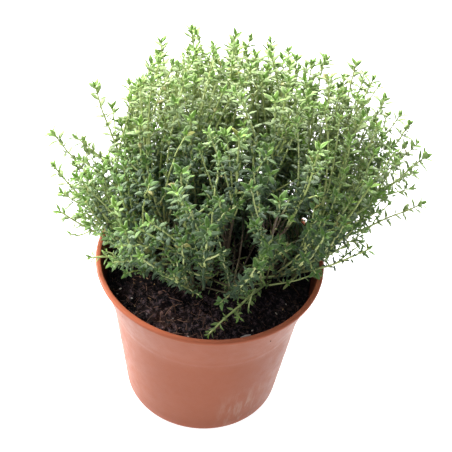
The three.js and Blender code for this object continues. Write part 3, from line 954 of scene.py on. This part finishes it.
def front_stems():
    """The stems that rise from the peat at the front of the bush, in plain sight."""
    rng = random.Random(FRONT_SEED)
    plant = Plant(leaf_width=FRONT_WIDTH, keeps_clear=False)
    for (x, y), knee, tip in FRONT_STEMS:
        foot = np.array([x, y, peat_top(x, y)])
        start = unit(np.array(knee, float) - foot)
        controls = np.array([foot - start * 6, knee, tip], float)
        length = run_along(bezier(controls, np.linspace(0, 1, 20)))[-1]
        line, places = branch(
            plant, rng, controls, FRONT_RADIUS, int(length / 4),
            size=rng.uniform(*FRONT_SIZES), gap=rng.uniform(*FRONT_GAPS), tufts=0.4,
            wobble=0.12, bare=14, sides=7, fresh=True,
        )
        sprigs(plant, rng, line, places, 0.1, 12)
    plant.grow_leaves(rng)
    return plant.piece("thyme_front_stems")


def runners():
    """Sprigs that lie over the front of the peat, most of them bare at one end."""
    rng = random.Random(RUNNER_SEED)
    # The runners' leaves get at least half the painted highlight of the bush's outside.
    plant = Plant(leaf_width=FRONT_WIDTH, least_young=0.35, least_outer=0.5, keeps_clear=False)
    for line in RUNNERS:
        fine = np.linspace(0, len(line) - 1, 5 * len(line))
        points = np.stack([np.interp(fine, range(len(line)), column) for column in zip(*line)], 1)
        for _ in range(3):
            points[1:-1] = (points[:-2] + 2 * points[1:-1] + points[2:]) / 4
        axis = Axis(points)
        plant.tube(axis, np.linspace(*RUNNER_RADII, len(points)), 6, rng.random(), True)
        bare = axis.length * rng.uniform(*RUNNER_BARE)
        clothe(plant, rng, axis, lambda _: 0.45, size=0.78, gap=0.9, tufts=0.5, bare=bare)
    plant.grow_leaves(rng)
    return plant.piece("thyme_runners")


def main_line(controls, rng):
    """A CAD stem's line with small waves."""
    steps = max(12, int(run_along(bezier(controls, np.linspace(0, 1, 30)))[-1] / 3.6))
    points = spaced(controls, steps)
    wave = rng.uniform(0, 6)
    for i in range(3, len(points) - 1):
        sway = [math.sin(i * 0.9 + wave), math.cos(i * 0.7 + wave), 0.5 * math.sin(i * 1.3)]
        points[i] += 0.22 * np.array(sway)
    return Axis(points)


def leafy_stem(name, index, axis, shoots, forks, rng):
    """One CAD stem with its shoots, its leaves and the stems that fork off it. The first few trail."""
    trails = index < len(TRAILING_STEMS)
    tip = axis.points[-1]
    fringe = trails or (tip[2] < 140 and tip[1] < 0)
    # Trailing stems' leaves get the full painted highlight of the bush's outside.
    plant = Plant(0.74 if fringe else 0.95, *((0.65, 1.0) if trails else (0.0, 0.0)))
    widths = TRAILING_WIDTHS if trails else STEM_WIDTHS
    plant.tube(axis, np.interp(axis.run / axis.length, STEM_PLACES, widths), 7, rng.random(), trails)
    bare = FOOT_DEPTH + (4 if trails else rng.uniform(6, 16))
    size = 1.05 if trails else 0.94 if fringe else 1.12
    places = clothe(
        plant, rng, axis, lambda d: np.interp(d / axis.length, [0, 1], [0.8, 0.38]),
        size=size, gap=rng.uniform(0.9, 1.1) if fringe else rng.uniform(0.8, 1.0),
        tufts=0.45 if fringe else 0.6, bare=bare, fine=0.3,
    )
    for shoot in shoots:
        branch(plant, rng, shoot, 0.48, 5, rng.uniform(0.85, 1.0) * size, rng.uniform(0.75, 0.95), 0.6)
    sprigs(plant, rng, axis, places, 0.1 if fringe else 0.28, 16)
    for share, tip in forks:
        plant.leaf_width = FRONT_WIDTH if tip[2] < 145 and tip[1] < 0 else 0.95
        filler_stem(plant, rng, axis, share, tip)
    plant.grow_leaves(rng)
    return plant.piece(name)


def srgb(*colour):
    """The linear colour of a colour given as 0 to 255."""
    linear = [((c / 255 + 0.055) / 1.055) ** 2.4 if c > 10 else c / 255 / 12.92 for c in colour]
    return (*linear, 1.0)


class Nodes:
    """A short way to write down a material's nodes."""

    def __init__(self, name):
        self.material = bpy.data.materials.new(name)
        self.material.use_nodes = True
        self.tree = self.material.node_tree
        self.tree.nodes.clear()

    def add(self, kind, inputs, **settings):
        node = self.tree.nodes.new("ShaderNode" + kind)
        for key, value in settings.items():
            setattr(node, key, value)
        for key, value in inputs.items():
            if isinstance(value, bpy.types.NodeSocket):
                self.tree.links.new(value, node.inputs[key])
            else:
                node.inputs[key].default_value = value
        return node

    def parts(self, vector):
        return self.add("SeparateXYZ", {"Vector": vector}).outputs

    def attribute(self, name):
        return self.parts(self.add("Attribute", {}, attribute_name=name).outputs["Vector"])

    def coords(self):
        return self.add("TexCoord", {}).outputs["Object"]

    def scaled(self, x, y, z):
        return self.add("Mapping", {"Vector": self.coords(), "Scale": (x, y, z)}).outputs["Vector"]

    def noise(self, scale, detail=4.0, rough=0.6, vector=None, distortion=0.0):
        inputs = {"Scale": scale, "Detail": detail, "Roughness": rough, "Distortion": distortion}
        return self.add("TexNoise", {**inputs, "Vector": vector or self.coords()}).outputs["Fac"]

    def mix(self, factor, a, b):
        return self.add("Mix", {0: factor, 6: a, 7: b}, data_type="RGBA").outputs[2]

    def tones(self, factor, dark, light):
        return self.mix(factor, srgb(*dark), srgb(*light))

    def tinted(self, colour, *layers):
        """A colour with others laid over it, each by a share."""
        for share, tint in layers:
            colour = self.mix(share, colour, srgb(*tint))
        return colour

    def math(self, operation, a, b=0.0):
        return self.add("Math", {0: a, 1: b}, operation=operation).outputs[0]

    def times(self, a, *others):
        for b in others:
            a = self.math("MULTIPLY", a, b)
        return a

    def ranged(self, value, low, high, to_low=0.0, to_high=1.0):
        inputs = {"Value": value, "From Min": low, "From Max": high, "To Min": to_low, "To Max": to_high}
        return self.add("MapRange", inputs, clamp=True).outputs["Result"]

    def skin(self, colour, rough, specular, bumps, strength, distance):
        """A surface with its colour, roughness, shine and small bumps."""
        bump = self.add("Bump", {"Height": bumps, "Strength": strength, "Distance": distance})
        inputs = {"Base Color": colour, "Roughness": rough, "Specular IOR Level": specular}
        return self.add("BsdfPrincipled", {**inputs, "Normal": bump.outputs["Normal"]}).outputs["BSDF"]

    def finish(self, shader):
        self.add("OutputMaterial", {"Surface": shader})
        return self.material


def make_leaf_material():
    n = Nodes("thyme_leaf")
    across, _, under = n.attribute("leaf")
    young, tone, outer = n.attribute("age")
    old = n.tones(tone, (86, 110, 80), (130, 154, 118))
    fresh = n.tones(tone, (98, 154, 28), (142, 188, 58))
    edge = n.math("ABSOLUTE", across)
    aged = n.math("SUBTRACT", 1.0, n.times(young, 0.75))
    colour = n.tinted(
        n.mix(young, old, fresh),
        (n.times(n.ranged(n.noise(420, 3), 0.35, 0.7), 0.35), (72, 98, 62)),
        (n.times(n.math("POWER", edge, 3.0), 0.5), (182, 190, 152)),
        (n.times(n.ranged(edge, 0.0, 0.3, 1.0, 0.0), 0.35), (160, 174, 108)),
        (n.times(under, 0.6), (150, 160, 130)),
        # Painted shade: leaves deep in the bush's middle are darkened and turned bluish.
        (n.ranged(outer, 0.0, 0.5, 0.5, 0.0), (38, 60, 55)),
        # Painted highlight: leaves at the bush's outside are lightened, the older ones most.
        (n.times(outer, 0.6, aged), (188, 200, 138)),
        (n.times(n.ranged(tone, 0.986, 0.992), 0.6), (168, 150, 84)),
    )
    rough = n.ranged(n.noise(600, 2), 0.3, 0.7, 0.42, 0.62)
    skin = n.skin(colour, rough, 0.25, n.noise(1500, 3), 0.35, 0.0002)
    glow = n.add("BsdfTranslucent", {"Color": n.mix(0.3, colour, srgb(170, 188, 110))}).outputs["BSDF"]
    return n.finish(n.add("MixShader", {0: 0.34, 1: skin, 2: glow}).outputs[0])


def make_stem_material():
    n = Nodes("thyme_stem")
    fresh, tone, _ = n.attribute("age")
    green = n.tones(tone, (156, 172, 98), (186, 196, 130))
    # The colour of woody stems near the crown, and painted shade on stems in the hollows.
    wood_and_hollow_shade = n.tones(tone, (52, 42, 36), (84, 68, 54))
    streak = n.ranged(n.noise(900, 3, vector=n.scaled(1, 1, 0.25)), 0.35, 0.7)
    flush = n.ranged(n.noise(60, 2), 0.55, 0.75)
    colour = n.tinted(
        n.mix(fresh, wood_and_hollow_shade, green),
        (n.times(streak, 0.2), (140, 120, 74)),
        (n.times(flush, 0.14), (170, 120, 92)),
    )
    rough = n.ranged(n.noise(500, 2), 0.3, 0.7, 0.5, 0.7)
    return n.finish(n.skin(colour, rough, 0.35, n.noise(1300, 3, vector=n.scaled(1, 1, 0.3)), 0.4, 0.0002))


def make_pot_material():
    """Satin plastic with painted light on a lighter, redder lip and foot, painted shade inside the wall, and
    pale scuffs low at the right front.
    """
    n = Nodes("pot_plastic")
    x, y, z = n.parts(n.coords())
    fine = n.times(n.ranged(n.noise(420, 5, 0.7), 0.45, 0.75), 0.25)
    # Painted light: a lighter, redder band at the lip and at the foot.
    edge = n.times(n.math("MAXIMUM", n.ranged(z, 0.0925, 0.0945), n.ranged(z, 0.006, 0.001)), 0.45)
    away = n.math("SQRT", n.math("ADD", n.math("POWER", x, 2.0), n.math("POWER", y, 2.0)))
    # Painted shade on the inside of the wall below the rim.
    wall = n.ranged(z, STEP_HEIGHT * MM, 0.093, STEP_RADIUS * MM, COLLAR_RADIUS * MM)
    inner = n.ranged(n.math("SUBTRACT", wall, away), 0.0004, 0.0011)
    inner = n.times(inner, n.ranged(z, 0.072, 0.078), n.ranged(z, 0.0935, 0.0885, 0.0, 0.85))
    scratches = n.ranged(n.noise(260, 4, 0.7, vector=n.scaled(1, 1, 0.2), distortion=0.6), 0.48, 0.74)
    low = n.times(n.ranged(z, 0.042, 0.024), n.ranged(x, 0.008, 0.02), n.ranged(x, 0.04, 0.03))
    scuff = n.times(scratches, n.times(low, n.ranged(y, -0.004, -0.014)), 0.6)
    colour = n.tinted(
        n.tones(n.ranged(n.noise(28, 3), 0.3, 0.7), (142, 79, 54), (148, 84, 59)),
        (fine, (138, 74, 50)), (edge, (174, 94, 66)), (inner, (72, 36, 28)), (scuff, (176, 150, 134)),
    )
    rough = n.math("ADD", n.ranged(n.noise(180, 4), 0.3, 0.7, 0.32, 0.46), n.times(scuff, 0.3))
    grain = n.math("ADD", n.noise(900, 4), n.times(n.noise(70, 2), 1.5))
    return n.finish(n.skin(colour, rough, 0.1, grain, 0.22, 0.00025))


def make_peat_material():
    """Dark peat, browner at the left front, with painted shade that makes it darkest at the right and under
    the bush.
    """
    n = Nodes("peat_soil")
    x, y, _ = n.parts(n.coords())
    brown = n.times(n.ranged(n.noise(60, 3), 0.45, 0.7), n.ranged(x, 0.006, -0.022, 0.1, 0.8))
    # Painted shade: darker at the right and under the bush.
    shade = n.math("MAXIMUM", n.ranged(x, 0.0, 0.03, 0.0, 0.55), n.ranged(y, -0.03, -0.01, 0.0, 0.8))
    colour = n.tinted(
        n.tones(n.ranged(n.noise(420, 6, 0.8), 0.5, 0.78), (6, 4, 7), (170, 142, 146)),
        (brown, (70, 44, 34)), (shade, (7, 5, 8)),
    )
    return n.finish(n.skin(colour, 0.95, 0.15, n.noise(1100, 8, 0.85), 1.0, 0.0012))


def make_litter_material(name, dark, light):
    n = Nodes(name)
    tones = n.tones(n.attribute("age")[1], dark, light)
    colour = n.tinted(tones, (n.times(n.noise(900, 4), 0.35), (30, 22, 19)))
    return n.finish(n.skin(colour, 0.85, 0.2, n.noise(1600, 4), 0.6, 0.0003))


def make_floor_material():
    n = Nodes("floor_white")
    colour = n.tones(n.ranged(n.noise(6, 2), 0.3, 0.7), (172, 172, 172), (168, 168, 168))
    glow = {"Emission Color": (1, 1, 1, 1), "Emission Strength": 0.9}
    skin = n.add("BsdfPrincipled", {"Base Color": colour, "Roughness": 0.9, **glow})
    return n.finish(skin.outputs["BSDF"])


leaf_material = make_leaf_material()
stem_material = make_stem_material()
pot_material = make_pot_material()
peat_material = make_peat_material()
fibre_material = make_litter_material("peat_fibres", (56, 36, 30), (184, 140, 116))
crumb_material = make_litter_material("peat_crumbs", (18, 12, 13), (184, 140, 124))
perlite_material = make_litter_material("peat_perlite", (176, 160, 146), (236, 226, 216))
chip_material = make_litter_material("peat_chips", (128, 88, 54), (206, 168, 122))
floor_material = make_floor_material()

# The pot: how many sides it has, the least angle of a sharp edge, and how the wall swells at the step, as
# heights from it and lengths outwards
POT_SIDES = 168
SHARP_ANGLE = 38
STEP_SWELL = ((-1.4, 0.02), (-0.8, 0.06), (-0.2, 0.12), (0.4, 0.16), (1.2, 0.16), (2.2, 0.1), (3.2, 0.04))
BOX_SIDES = ((0, 1, 3, 2), (4, 6, 7, 5), (0, 4, 5, 1), (2, 3, 7, 6), (0, 2, 6, 4), (1, 5, 7, 3))


def outside_radius(z):
    if z < STEP_HEIGHT:
        return mix(BASE_RADIUS, STEP_RADIUS, z / STEP_HEIGHT)
    return mix(STEP_RADIUS, COLLAR_RADIUS, (z - STEP_HEIGHT) / (POT_HEIGHT - LIP_HEIGHT - STEP_HEIGHT))


def inside_radius(z):
    return outside_radius(z) - WALL


def arc(centre, radius, start, end, steps):
    return [
        (centre[0] + radius * math.cos(math.radians(a)), centre[1] + radius * math.sin(math.radians(a)))
        for a in np.linspace(start, end, steps)
    ]


def pot_profile():
    """The pot's section as radius and height: underside, outside, lip, inside and floor."""
    under = POT_HEIGHT - LIP_HEIGHT
    inner = inside_radius(under)
    top = outside_radius(BASE_FILLET)
    profile = [(r, 0.0) for r in (0.4, 12, 24, 32, 37)]
    for t in np.linspace(0, 1, 8):
        r = (1 - t) ** 2 * (BASE_RADIUS - BASE_FILLET) + 2 * t * (1 - t) * BASE_RADIUS + t * t * top
        profile.append((r, t * t * BASE_FILLET))
    for z in np.linspace(BASE_FILLET, STEP_HEIGHT - 1.6, 16)[1:]:
        profile.append((outside_radius(z), z))
    for z, proud in STEP_SWELL:
        profile.append((outside_radius(STEP_HEIGHT + z) + proud, STEP_HEIGHT + z))
    for z in np.linspace(STEP_HEIGHT + 4.5, under - 0.9, 10):
        profile.append((outside_radius(z), z))
    profile += [(COLLAR_RADIUS + 0.15, under - 0.35), (COLLAR_RADIUS + 0.6, under - 0.02)]
    profile += arc((RIM_RADIUS - 0.5, under + 0.5), 0.5, -80, 0, 4)
    profile += arc((RIM_RADIUS - 0.9, POT_HEIGHT - 0.9), 0.9, 0, 90, 6)
    profile += arc((inner + 0.8, POT_HEIGHT - 0.8), 0.8, 100, 180, 5)
    for z in np.linspace(under - 1, BASE_FILLET + WALL, 20):
        profile.append((inside_radius(z), z))
    profile += [(BASE_RADIUS - BASE_FILLET + 0.9, WALL + 0.7), (BASE_RADIUS - BASE_FILLET - 0.6, WALL)]
    profile += [(r, WALL) for r in (30, 15, 0.4)]
    return profile


def lathe(profile, sides):
    """Points and triangles of a profile turned about Z, with a point on the axis at each end."""
    turn = np.linspace(0, 2 * math.pi, sides, endpoint=False)
    rings = [np.stack([r * np.cos(turn), r * np.sin(turn), np.full(sides, z)], 1) for r, z in profile]
    points = [np.array([[0, 0, profile[0][1]]])] + rings + [np.array([[0, 0, profile[-1][1]]])]
    return np.concatenate(points), ring_faces(len(profile), sides)


def make_pot():
    """The pot, with the drain slots cut out of its bottom edge."""
    points, faces = lathe(pot_profile(), POT_SIDES)
    pot = new_piece("pot_fine", points, faces, [pot_material])
    blocks, sides = [], []
    for i in range(SLOT_COUNT):
        a = math.radians(SLOT_AZIMUTH + 360 * i / SLOT_COUNT)
        out, across = np.array([math.cos(a), math.sin(a), 0]), np.array([-math.sin(a), math.cos(a), 0])
        base = len(blocks)
        for r in (SLOT_INNER_RADIUS, BASE_RADIUS + 3):
            for w in (-SLOT_WIDTH / 2, SLOT_WIDTH / 2):
                for z in (-1.0, SLOT_HEIGHT):
                    blocks.append(out * r + across * w + UP * z)
        for first, second, third, fourth in np.array(BOX_SIDES) + base:
            sides += [(first, second, third), (first, third, fourth)]
    cutter = new_piece("slots", np.array(blocks), sides, [pot_material], smooth=False)
    cut = pot.modifiers.new("slots", "BOOLEAN")
    cut.operation, cut.object, cut.solver = "DIFFERENCE", cutter, "EXACT"
    bpy.context.view_layer.update()
    mesh = bpy.data.meshes.new_from_object(pot.evaluated_get(bpy.context.evaluated_depsgraph_get()))
    pot.modifiers.clear()
    pot.data = mesh
    bpy.data.objects.remove(cutter)
    mesh.polygons.foreach_set("use_smooth", np.full(len(mesh.polygons), True))
    mesh.set_sharp_from_angle(angle=math.radians(SHARP_ANGLE))
    return pot


# The peat and the litter on it. The first fibres are long, and some of those lie at the left front.
PEAT_RINGS = 78
PEAT_SECTORS = 240
CRUMB_SEED, FIBRE_SEED, CHIP_SEED, PERLITE_SEED = 21, 22, 23, 24
CRUMB_COUNT = 1500
CRUMB_REACH = 54.8
FIBRE_COUNT = 1190
FIBRE_REACH = 53.5
FIBRE_LIMIT = 55.5
LONG_FIBRES = 60
SPREAD_FIBRES = 20
LEFT_FRONT = (4, -16)
CHIP_COUNT = 70
CHIP_REACH = 54
PERLITE = (
    (31.1, -41.7), (-45.1, -19.1), (-38.7, -24.2), (-16.5, -35.5), (41, -19.8), (-46.5, -21.5),
    (24, -39), (36, -28), (-30, -34), (-8, -47), (-43, 20), (-22, 42), (12, 49), (44, 16), (0, 38),
)
FLAKE_AZIMUTH = 294.3
FLAKE_REACH = 50.4
FLAKE_LEVEL = 86


def rough_top(x, y):
    """The peat's top with its crumbs: the CAD part's formula and finer and finer lumps."""
    lumps = noise.fractal(Vector((x * 0.16, y * 0.16, 3.1)), 0.8, 2.0, 3)
    grit = abs(noise.fractal(Vector((x * 0.5, y * 0.5, 8.2)), 0.6, 2.2, 3))
    edge = smoothstep(math.hypot(x, y), 50, 56)
    bank = 0.8 * edge * noise.noise(Vector((x * 0.2, y * 0.2, 1)))
    return peat_top(x, y) + 1.9 * lumps + 1.6 * grit + bank - 0.3


def make_peat():
    """The plug of peat: smooth where it meets the pot, and rough on top."""
    edge = inside_radius(PEAT_LEVEL) - PEAT_GAP
    profile = [(0.4, WALL + PEAT_GAP), (BASE_RADIUS - BASE_FILLET - PEAT_GAP, WALL + PEAT_GAP)]
    foot = BASE_FILLET + WALL + PEAT_GAP
    for z in np.linspace(foot, PEAT_LEVEL - 1.5, 10):
        profile.append((inside_radius(z) - PEAT_GAP, z))
    rings_below = len(profile)
    for r in np.linspace(edge, 0.6, PEAT_RINGS):
        profile.append((r, PEAT_LEVEL))
    points, faces = lathe(profile, PEAT_SECTORS)
    for i in range(1 + rings_below * PEAT_SECTORS, len(points)):
        points[i, 2] = rough_top(points[i, 0], points[i, 1])
    return new_piece("peat_fine", points, faces, [peat_material])


def lump():
    """The points and triangles of a 20-faced ball of radius 1."""
    g = (1 + math.sqrt(5)) / 2
    points = np.array([(-1, g, 0), (1, g, 0), (-1, -g, 0), (1, -g, 0), (0, -1, g), (0, 1, g),
                       (0, -1, -g), (0, 1, -g), (g, 0, -1), (g, 0, 1), (-g, 0, -1), (-g, 0, 1)], float)
    faces = np.array([(0, 11, 5), (0, 5, 1), (0, 1, 7), (0, 7, 10), (0, 10, 11), (1, 5, 9), (5, 11, 4),
                      (11, 10, 2), (10, 7, 6), (7, 1, 8), (3, 9, 4), (3, 4, 2), (3, 2, 6), (3, 6, 8),
                      (3, 8, 9), (4, 9, 5), (2, 4, 11), (6, 2, 10), (8, 6, 7), (9, 8, 1)])
    return points / np.linalg.norm(points[0]), faces


def litter_tone_and_shade(place):
    """How pale loose things are: palest at the left front, and darkened with painted shade at the right and
    under the bush.
    """
    return mix(1.1, 0.4, smoothstep(place[0], -18, 24)) * mix(1, 0.4, smoothstep(place[1], -28, -8))


def on_peat(rng, reach):
    """A random point over the peat."""
    r, a = reach * math.sqrt(rng.random()), rng.uniform(0, 2 * math.pi)
    x, y = r * math.cos(a), r * math.sin(a)
    return np.array([x, y, rough_top(x, y)])


def turned(rng, flat=False):
    """A random turn, about Z alone if the thing lies flat."""
    if flat:
        tilt = Matrix.Rotation(rng.gauss(0, 0.25), 3, "X") @ Matrix.Rotation(rng.gauss(0, 0.25), 3, "Y")
        return np.array(tilt @ Matrix.Rotation(rng.uniform(0, 6.3), 3, "Z"))
    axis = Vector((rng.gauss(0, 1), rng.gauss(0, 1), rng.gauss(0, 1))).normalized()
    return np.array(Matrix.Rotation(rng.uniform(0, 6.3), 3, axis))


def lumpy(rng, shape, low, high):
    """A shape with each of its corners moved in or out."""
    return shape * np.array([[rng.uniform(low, high)] for _ in range(len(shape))])


class Litter(Gathered):
    """Loose things on the peat that share one material."""

    def __init__(self):
        super().__init__()
        self.tones = []

    def add(self, points, faces, tone):
        self.gather(points, faces)
        self.tones += [(0, tone, 0)] * len(points)

    def thread(self, line, radius, sides, tone):
        """A round thread along a line, thinner at its ends."""
        axis = Axis(line)
        taper = np.interp(axis.run / axis.length, [0, 0.15, 0.8, 1], [0.5, 1, 0.8, 0.3]) * radius
        self.add(*tube_along(axis, taper, sides), tone)

    def piece(self, name, material, smooth=True):
        points, faces = np.concatenate(self.points), np.concatenate(self.faces)
        return new_piece(name, points, faces, [material], None, {"age": self.tones}, smooth)


def make_crumbs():
    rng = random.Random(CRUMB_SEED)
    crumbs = Litter()
    ball, faces = lump()
    for _ in range(CRUMB_COUNT):
        size = 0.22 + 1.5 * rng.random() ** 3.5
        shape = lumpy(rng, ball, 0.5, 1.35) * [1, rng.uniform(0.4, 0.9), rng.uniform(0.3, 0.6)]
        centre = on_peat(rng, CRUMB_REACH)
        tone = rng.random() ** 2.6 * (0.5 if size > 0.8 else 1) * litter_tone_and_shade(centre)
        crumbs.add(shape @ turned(rng).T * size + centre + UP * size * 0.2, faces, tone)
    return crumbs.piece("peat_crumbs", crumb_material, smooth=False)


def make_fibres():
    """Short stiff fibres that lie criss-cross, many of them with an end off the peat, and a few long ones."""
    rng = random.Random(FIBRE_SEED)
    fibres = Litter()
    for i in range(FIBRE_COUNT):
        long = i < LONG_FIBRES
        at_front = SPREAD_FIBRES < i < LONG_FIBRES
        start = on_peat(rng, FIBRE_REACH)
        while at_front and (start[0] > LEFT_FRONT[0] or start[1] > LEFT_FRONT[1]):
            start = on_peat(rng, FIBRE_REACH)
        heading = rng.uniform(0, 2 * math.pi)
        length = rng.uniform(*((4, 9) if at_front else (9, 19) if long else (1.2, 6)))
        away = np.array([math.cos(heading), math.sin(heading), 0]) * length
        if math.hypot(*(start + away)[:2]) > FIBRE_LIMIT:
            away = -away
        end = start + away
        end[2] = rough_top(end[0], end[1]) + abs(rng.gauss(0, 0.5 if long else 0.9))
        middle = (start + end) / 2 + np.array([rng.gauss(0, 0.08), rng.gauss(0, 0.08), 0]) * length
        middle[2] = max(middle[2], rough_top(middle[0], middle[1])) + abs(rng.gauss(0.15, 0.4))
        line = spaced(np.array([start, middle, end]), 6 if long else 2)
        radius = rng.uniform(0.14, 0.26) if long else rng.uniform(0.05, 0.15)
        tone = rng.uniform(0.2, 0.65) if long else rng.random() ** 2.2
        fibres.thread(line, radius, 4 if long else 3, tone * litter_tone_and_shade(start))
    return fibres.piece("peat_fibres", fibre_material)


def make_chips():
    rng = random.Random(CHIP_SEED)
    chips = Litter()
    ball, faces = lump()
    for i in range(CHIP_COUNT):
        size = rng.uniform(0.4, 1.0) if i % 5 else rng.uniform(1.0, 1.5)
        flat = ball * [1, rng.uniform(0.2, 0.4), rng.uniform(0.12, 0.25)]
        shape = lumpy(rng, flat, 0.8, 1.2)
        centre = on_peat(rng, CHIP_REACH)
        chips.add(shape @ turned(rng, flat=True).T * size + centre + UP * 0.2, faces, rng.random() ** 1.5)
    return chips.piece("peat_chips", chip_material, smooth=False)


def make_perlite():
    """The few near-white grains in the peat, and the pale flake that leans on the pot's front wall."""
    rng = random.Random(PERLITE_SEED)
    grains = Litter()
    ball, faces = lump()
    for x, y in PERLITE:
        shape = lumpy(rng, ball, 0.7, 1.2) * [1, 0.6, 0.4]
        size = rng.uniform(0.5, 0.9)
        centre = np.array([x, y, rough_top(x, y) + 0.5])
        grains.add(shape @ turned(rng).T * size + centre, faces, rng.uniform(0.3, 0.9))
    flake = lumpy(rng, ball, 0.85, 1.1) * [3.6, 0.4, 1.3]
    turn = math.radians(FLAKE_AZIMUTH + 90)
    spin = np.array([(math.cos(turn), -math.sin(turn), 0), (math.sin(turn), math.cos(turn), 0), (0, 0, 1)])
    place = leaning(FLAKE_AZIMUTH, 90) * FLAKE_REACH + UP * FLAKE_LEVEL
    grains.add(flake @ spin.T + place, faces, 0.9)
    return grains.piece("peat_perlite", perlite_material, smooth=False)


# The studio: the sky, the floor's half side in millimetres, and each light's name, place and aim in metres,
# size and power
SKY_COLOUR = (0.68, 0.8, 1, 1)
SKY_STRENGTH = 0.45
FLOOR_HALF = 3000
LIGHTS = (
    ("key", (-0.8, 0.5, 0.55), (0, 0, 0.12), 0.6, 42),
    ("top", (-0.1, 0.95, 0.8), (0, 0, 0.12), 0.8, 28),
    ("back", (0.42, 0.95, 0.5), (0, 0, 0.14), 0.6, 24),
    ("fill", (-0.5, -0.85, 0.8), (0, -0.02, 0.1), 0.8, 5.5),
)


def make_camera():
    camera = bpy.data.objects.new("camera", bpy.data.cameras.new("camera"))
    bpy.context.scene.collection.objects.link(camera)
    turn = Matrix((Vector(CAMERA_RIGHT), Vector(CAMERA_UP), -Vector(CAMERA_FORWARD))).transposed()
    camera.matrix_world = Matrix.Translation(CAMERA_PLACE) @ turn.to_4x4()
    camera.data.lens = CAMERA_LENS
    camera.data.sensor_width = 36
    camera.data.clip_start = 0.01
    bpy.context.scene.camera = camera


def make_light(name, place, aim, size, power):
    light = bpy.data.lights.new(name, "AREA")
    light.shape, light.size, light.energy = "DISK", size, power
    lamp = bpy.data.objects.new(name, light)
    bpy.context.scene.collection.objects.link(lamp)
    lamp.location = place
    lamp.rotation_mode = "QUATERNION"
    lamp.rotation_quaternion = (Vector(aim) - Vector(place)).to_track_quat("-Z", "Y")


def make_studio():
    world = bpy.data.worlds.new("studio")
    world.use_nodes = True
    background = world.node_tree.nodes["Background"]
    background.inputs["Color"].default_value = SKY_COLOUR
    background.inputs["Strength"].default_value = SKY_STRENGTH
    bpy.context.scene.world = world
    for light in LIGHTS:
        make_light(*light)
    corners = np.array([(-1, -1, 0), (1, -1, 0), (1, 1, 0), (-1, 1, 0)], float) * FLOOR_HALF
    floor = new_piece("floor", corners, [(0, 1, 2), (0, 2, 3)], [floor_material], smooth=False)
    bpy.context.scene.view_settings.view_transform = "Standard"


def settle(piece, slot, *nodes):
    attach(piece, "root")
    if nodes:
        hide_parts(*nodes)


make_camera()
make_studio()
settle(make_pot(), "pot_plastic", "pot")
settle(make_peat(), "peat", "peat")
for loose in (make_crumbs(), make_fibres(), make_chips(), make_perlite()):
    settle(loose, "peat")

curves = [lambda draw, points=points: trailing_curve(points) for points in TRAILING_STEMS]
curves += [lambda draw, place=place: rising_curve(place, draw) for place in tip_places()]
nodes = ["leafy_stem_%02d" % (i + 1) for i in range(len(curves))]
found = [found_stem(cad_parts[node], i, curve) for i, (node, curve) in enumerate(zip(nodes, curves))]
sources = [random.Random(LOOKS_SEED + i) for i in range(len(curves))]
lines = [main_line(controls, source) for (controls, _), source in zip(found, sources)]
forks = [[] for _ in lines]
fork_places = Forks(lines)
for tip in filler_tips([line.points[-1] for line in lines]):
    k, share = fork_places.best(tip)
    forks[k].append((share, tip))
for i, (_, shoots) in enumerate(found):
    piece = leafy_stem("thyme_stem_%02d" % (i + 1), i, lines[i], shoots, forks[i], sources[i])
    settle(piece, "thyme", nodes[i])
settle(front_stems(), "thyme")
settle(runners(), "thyme")
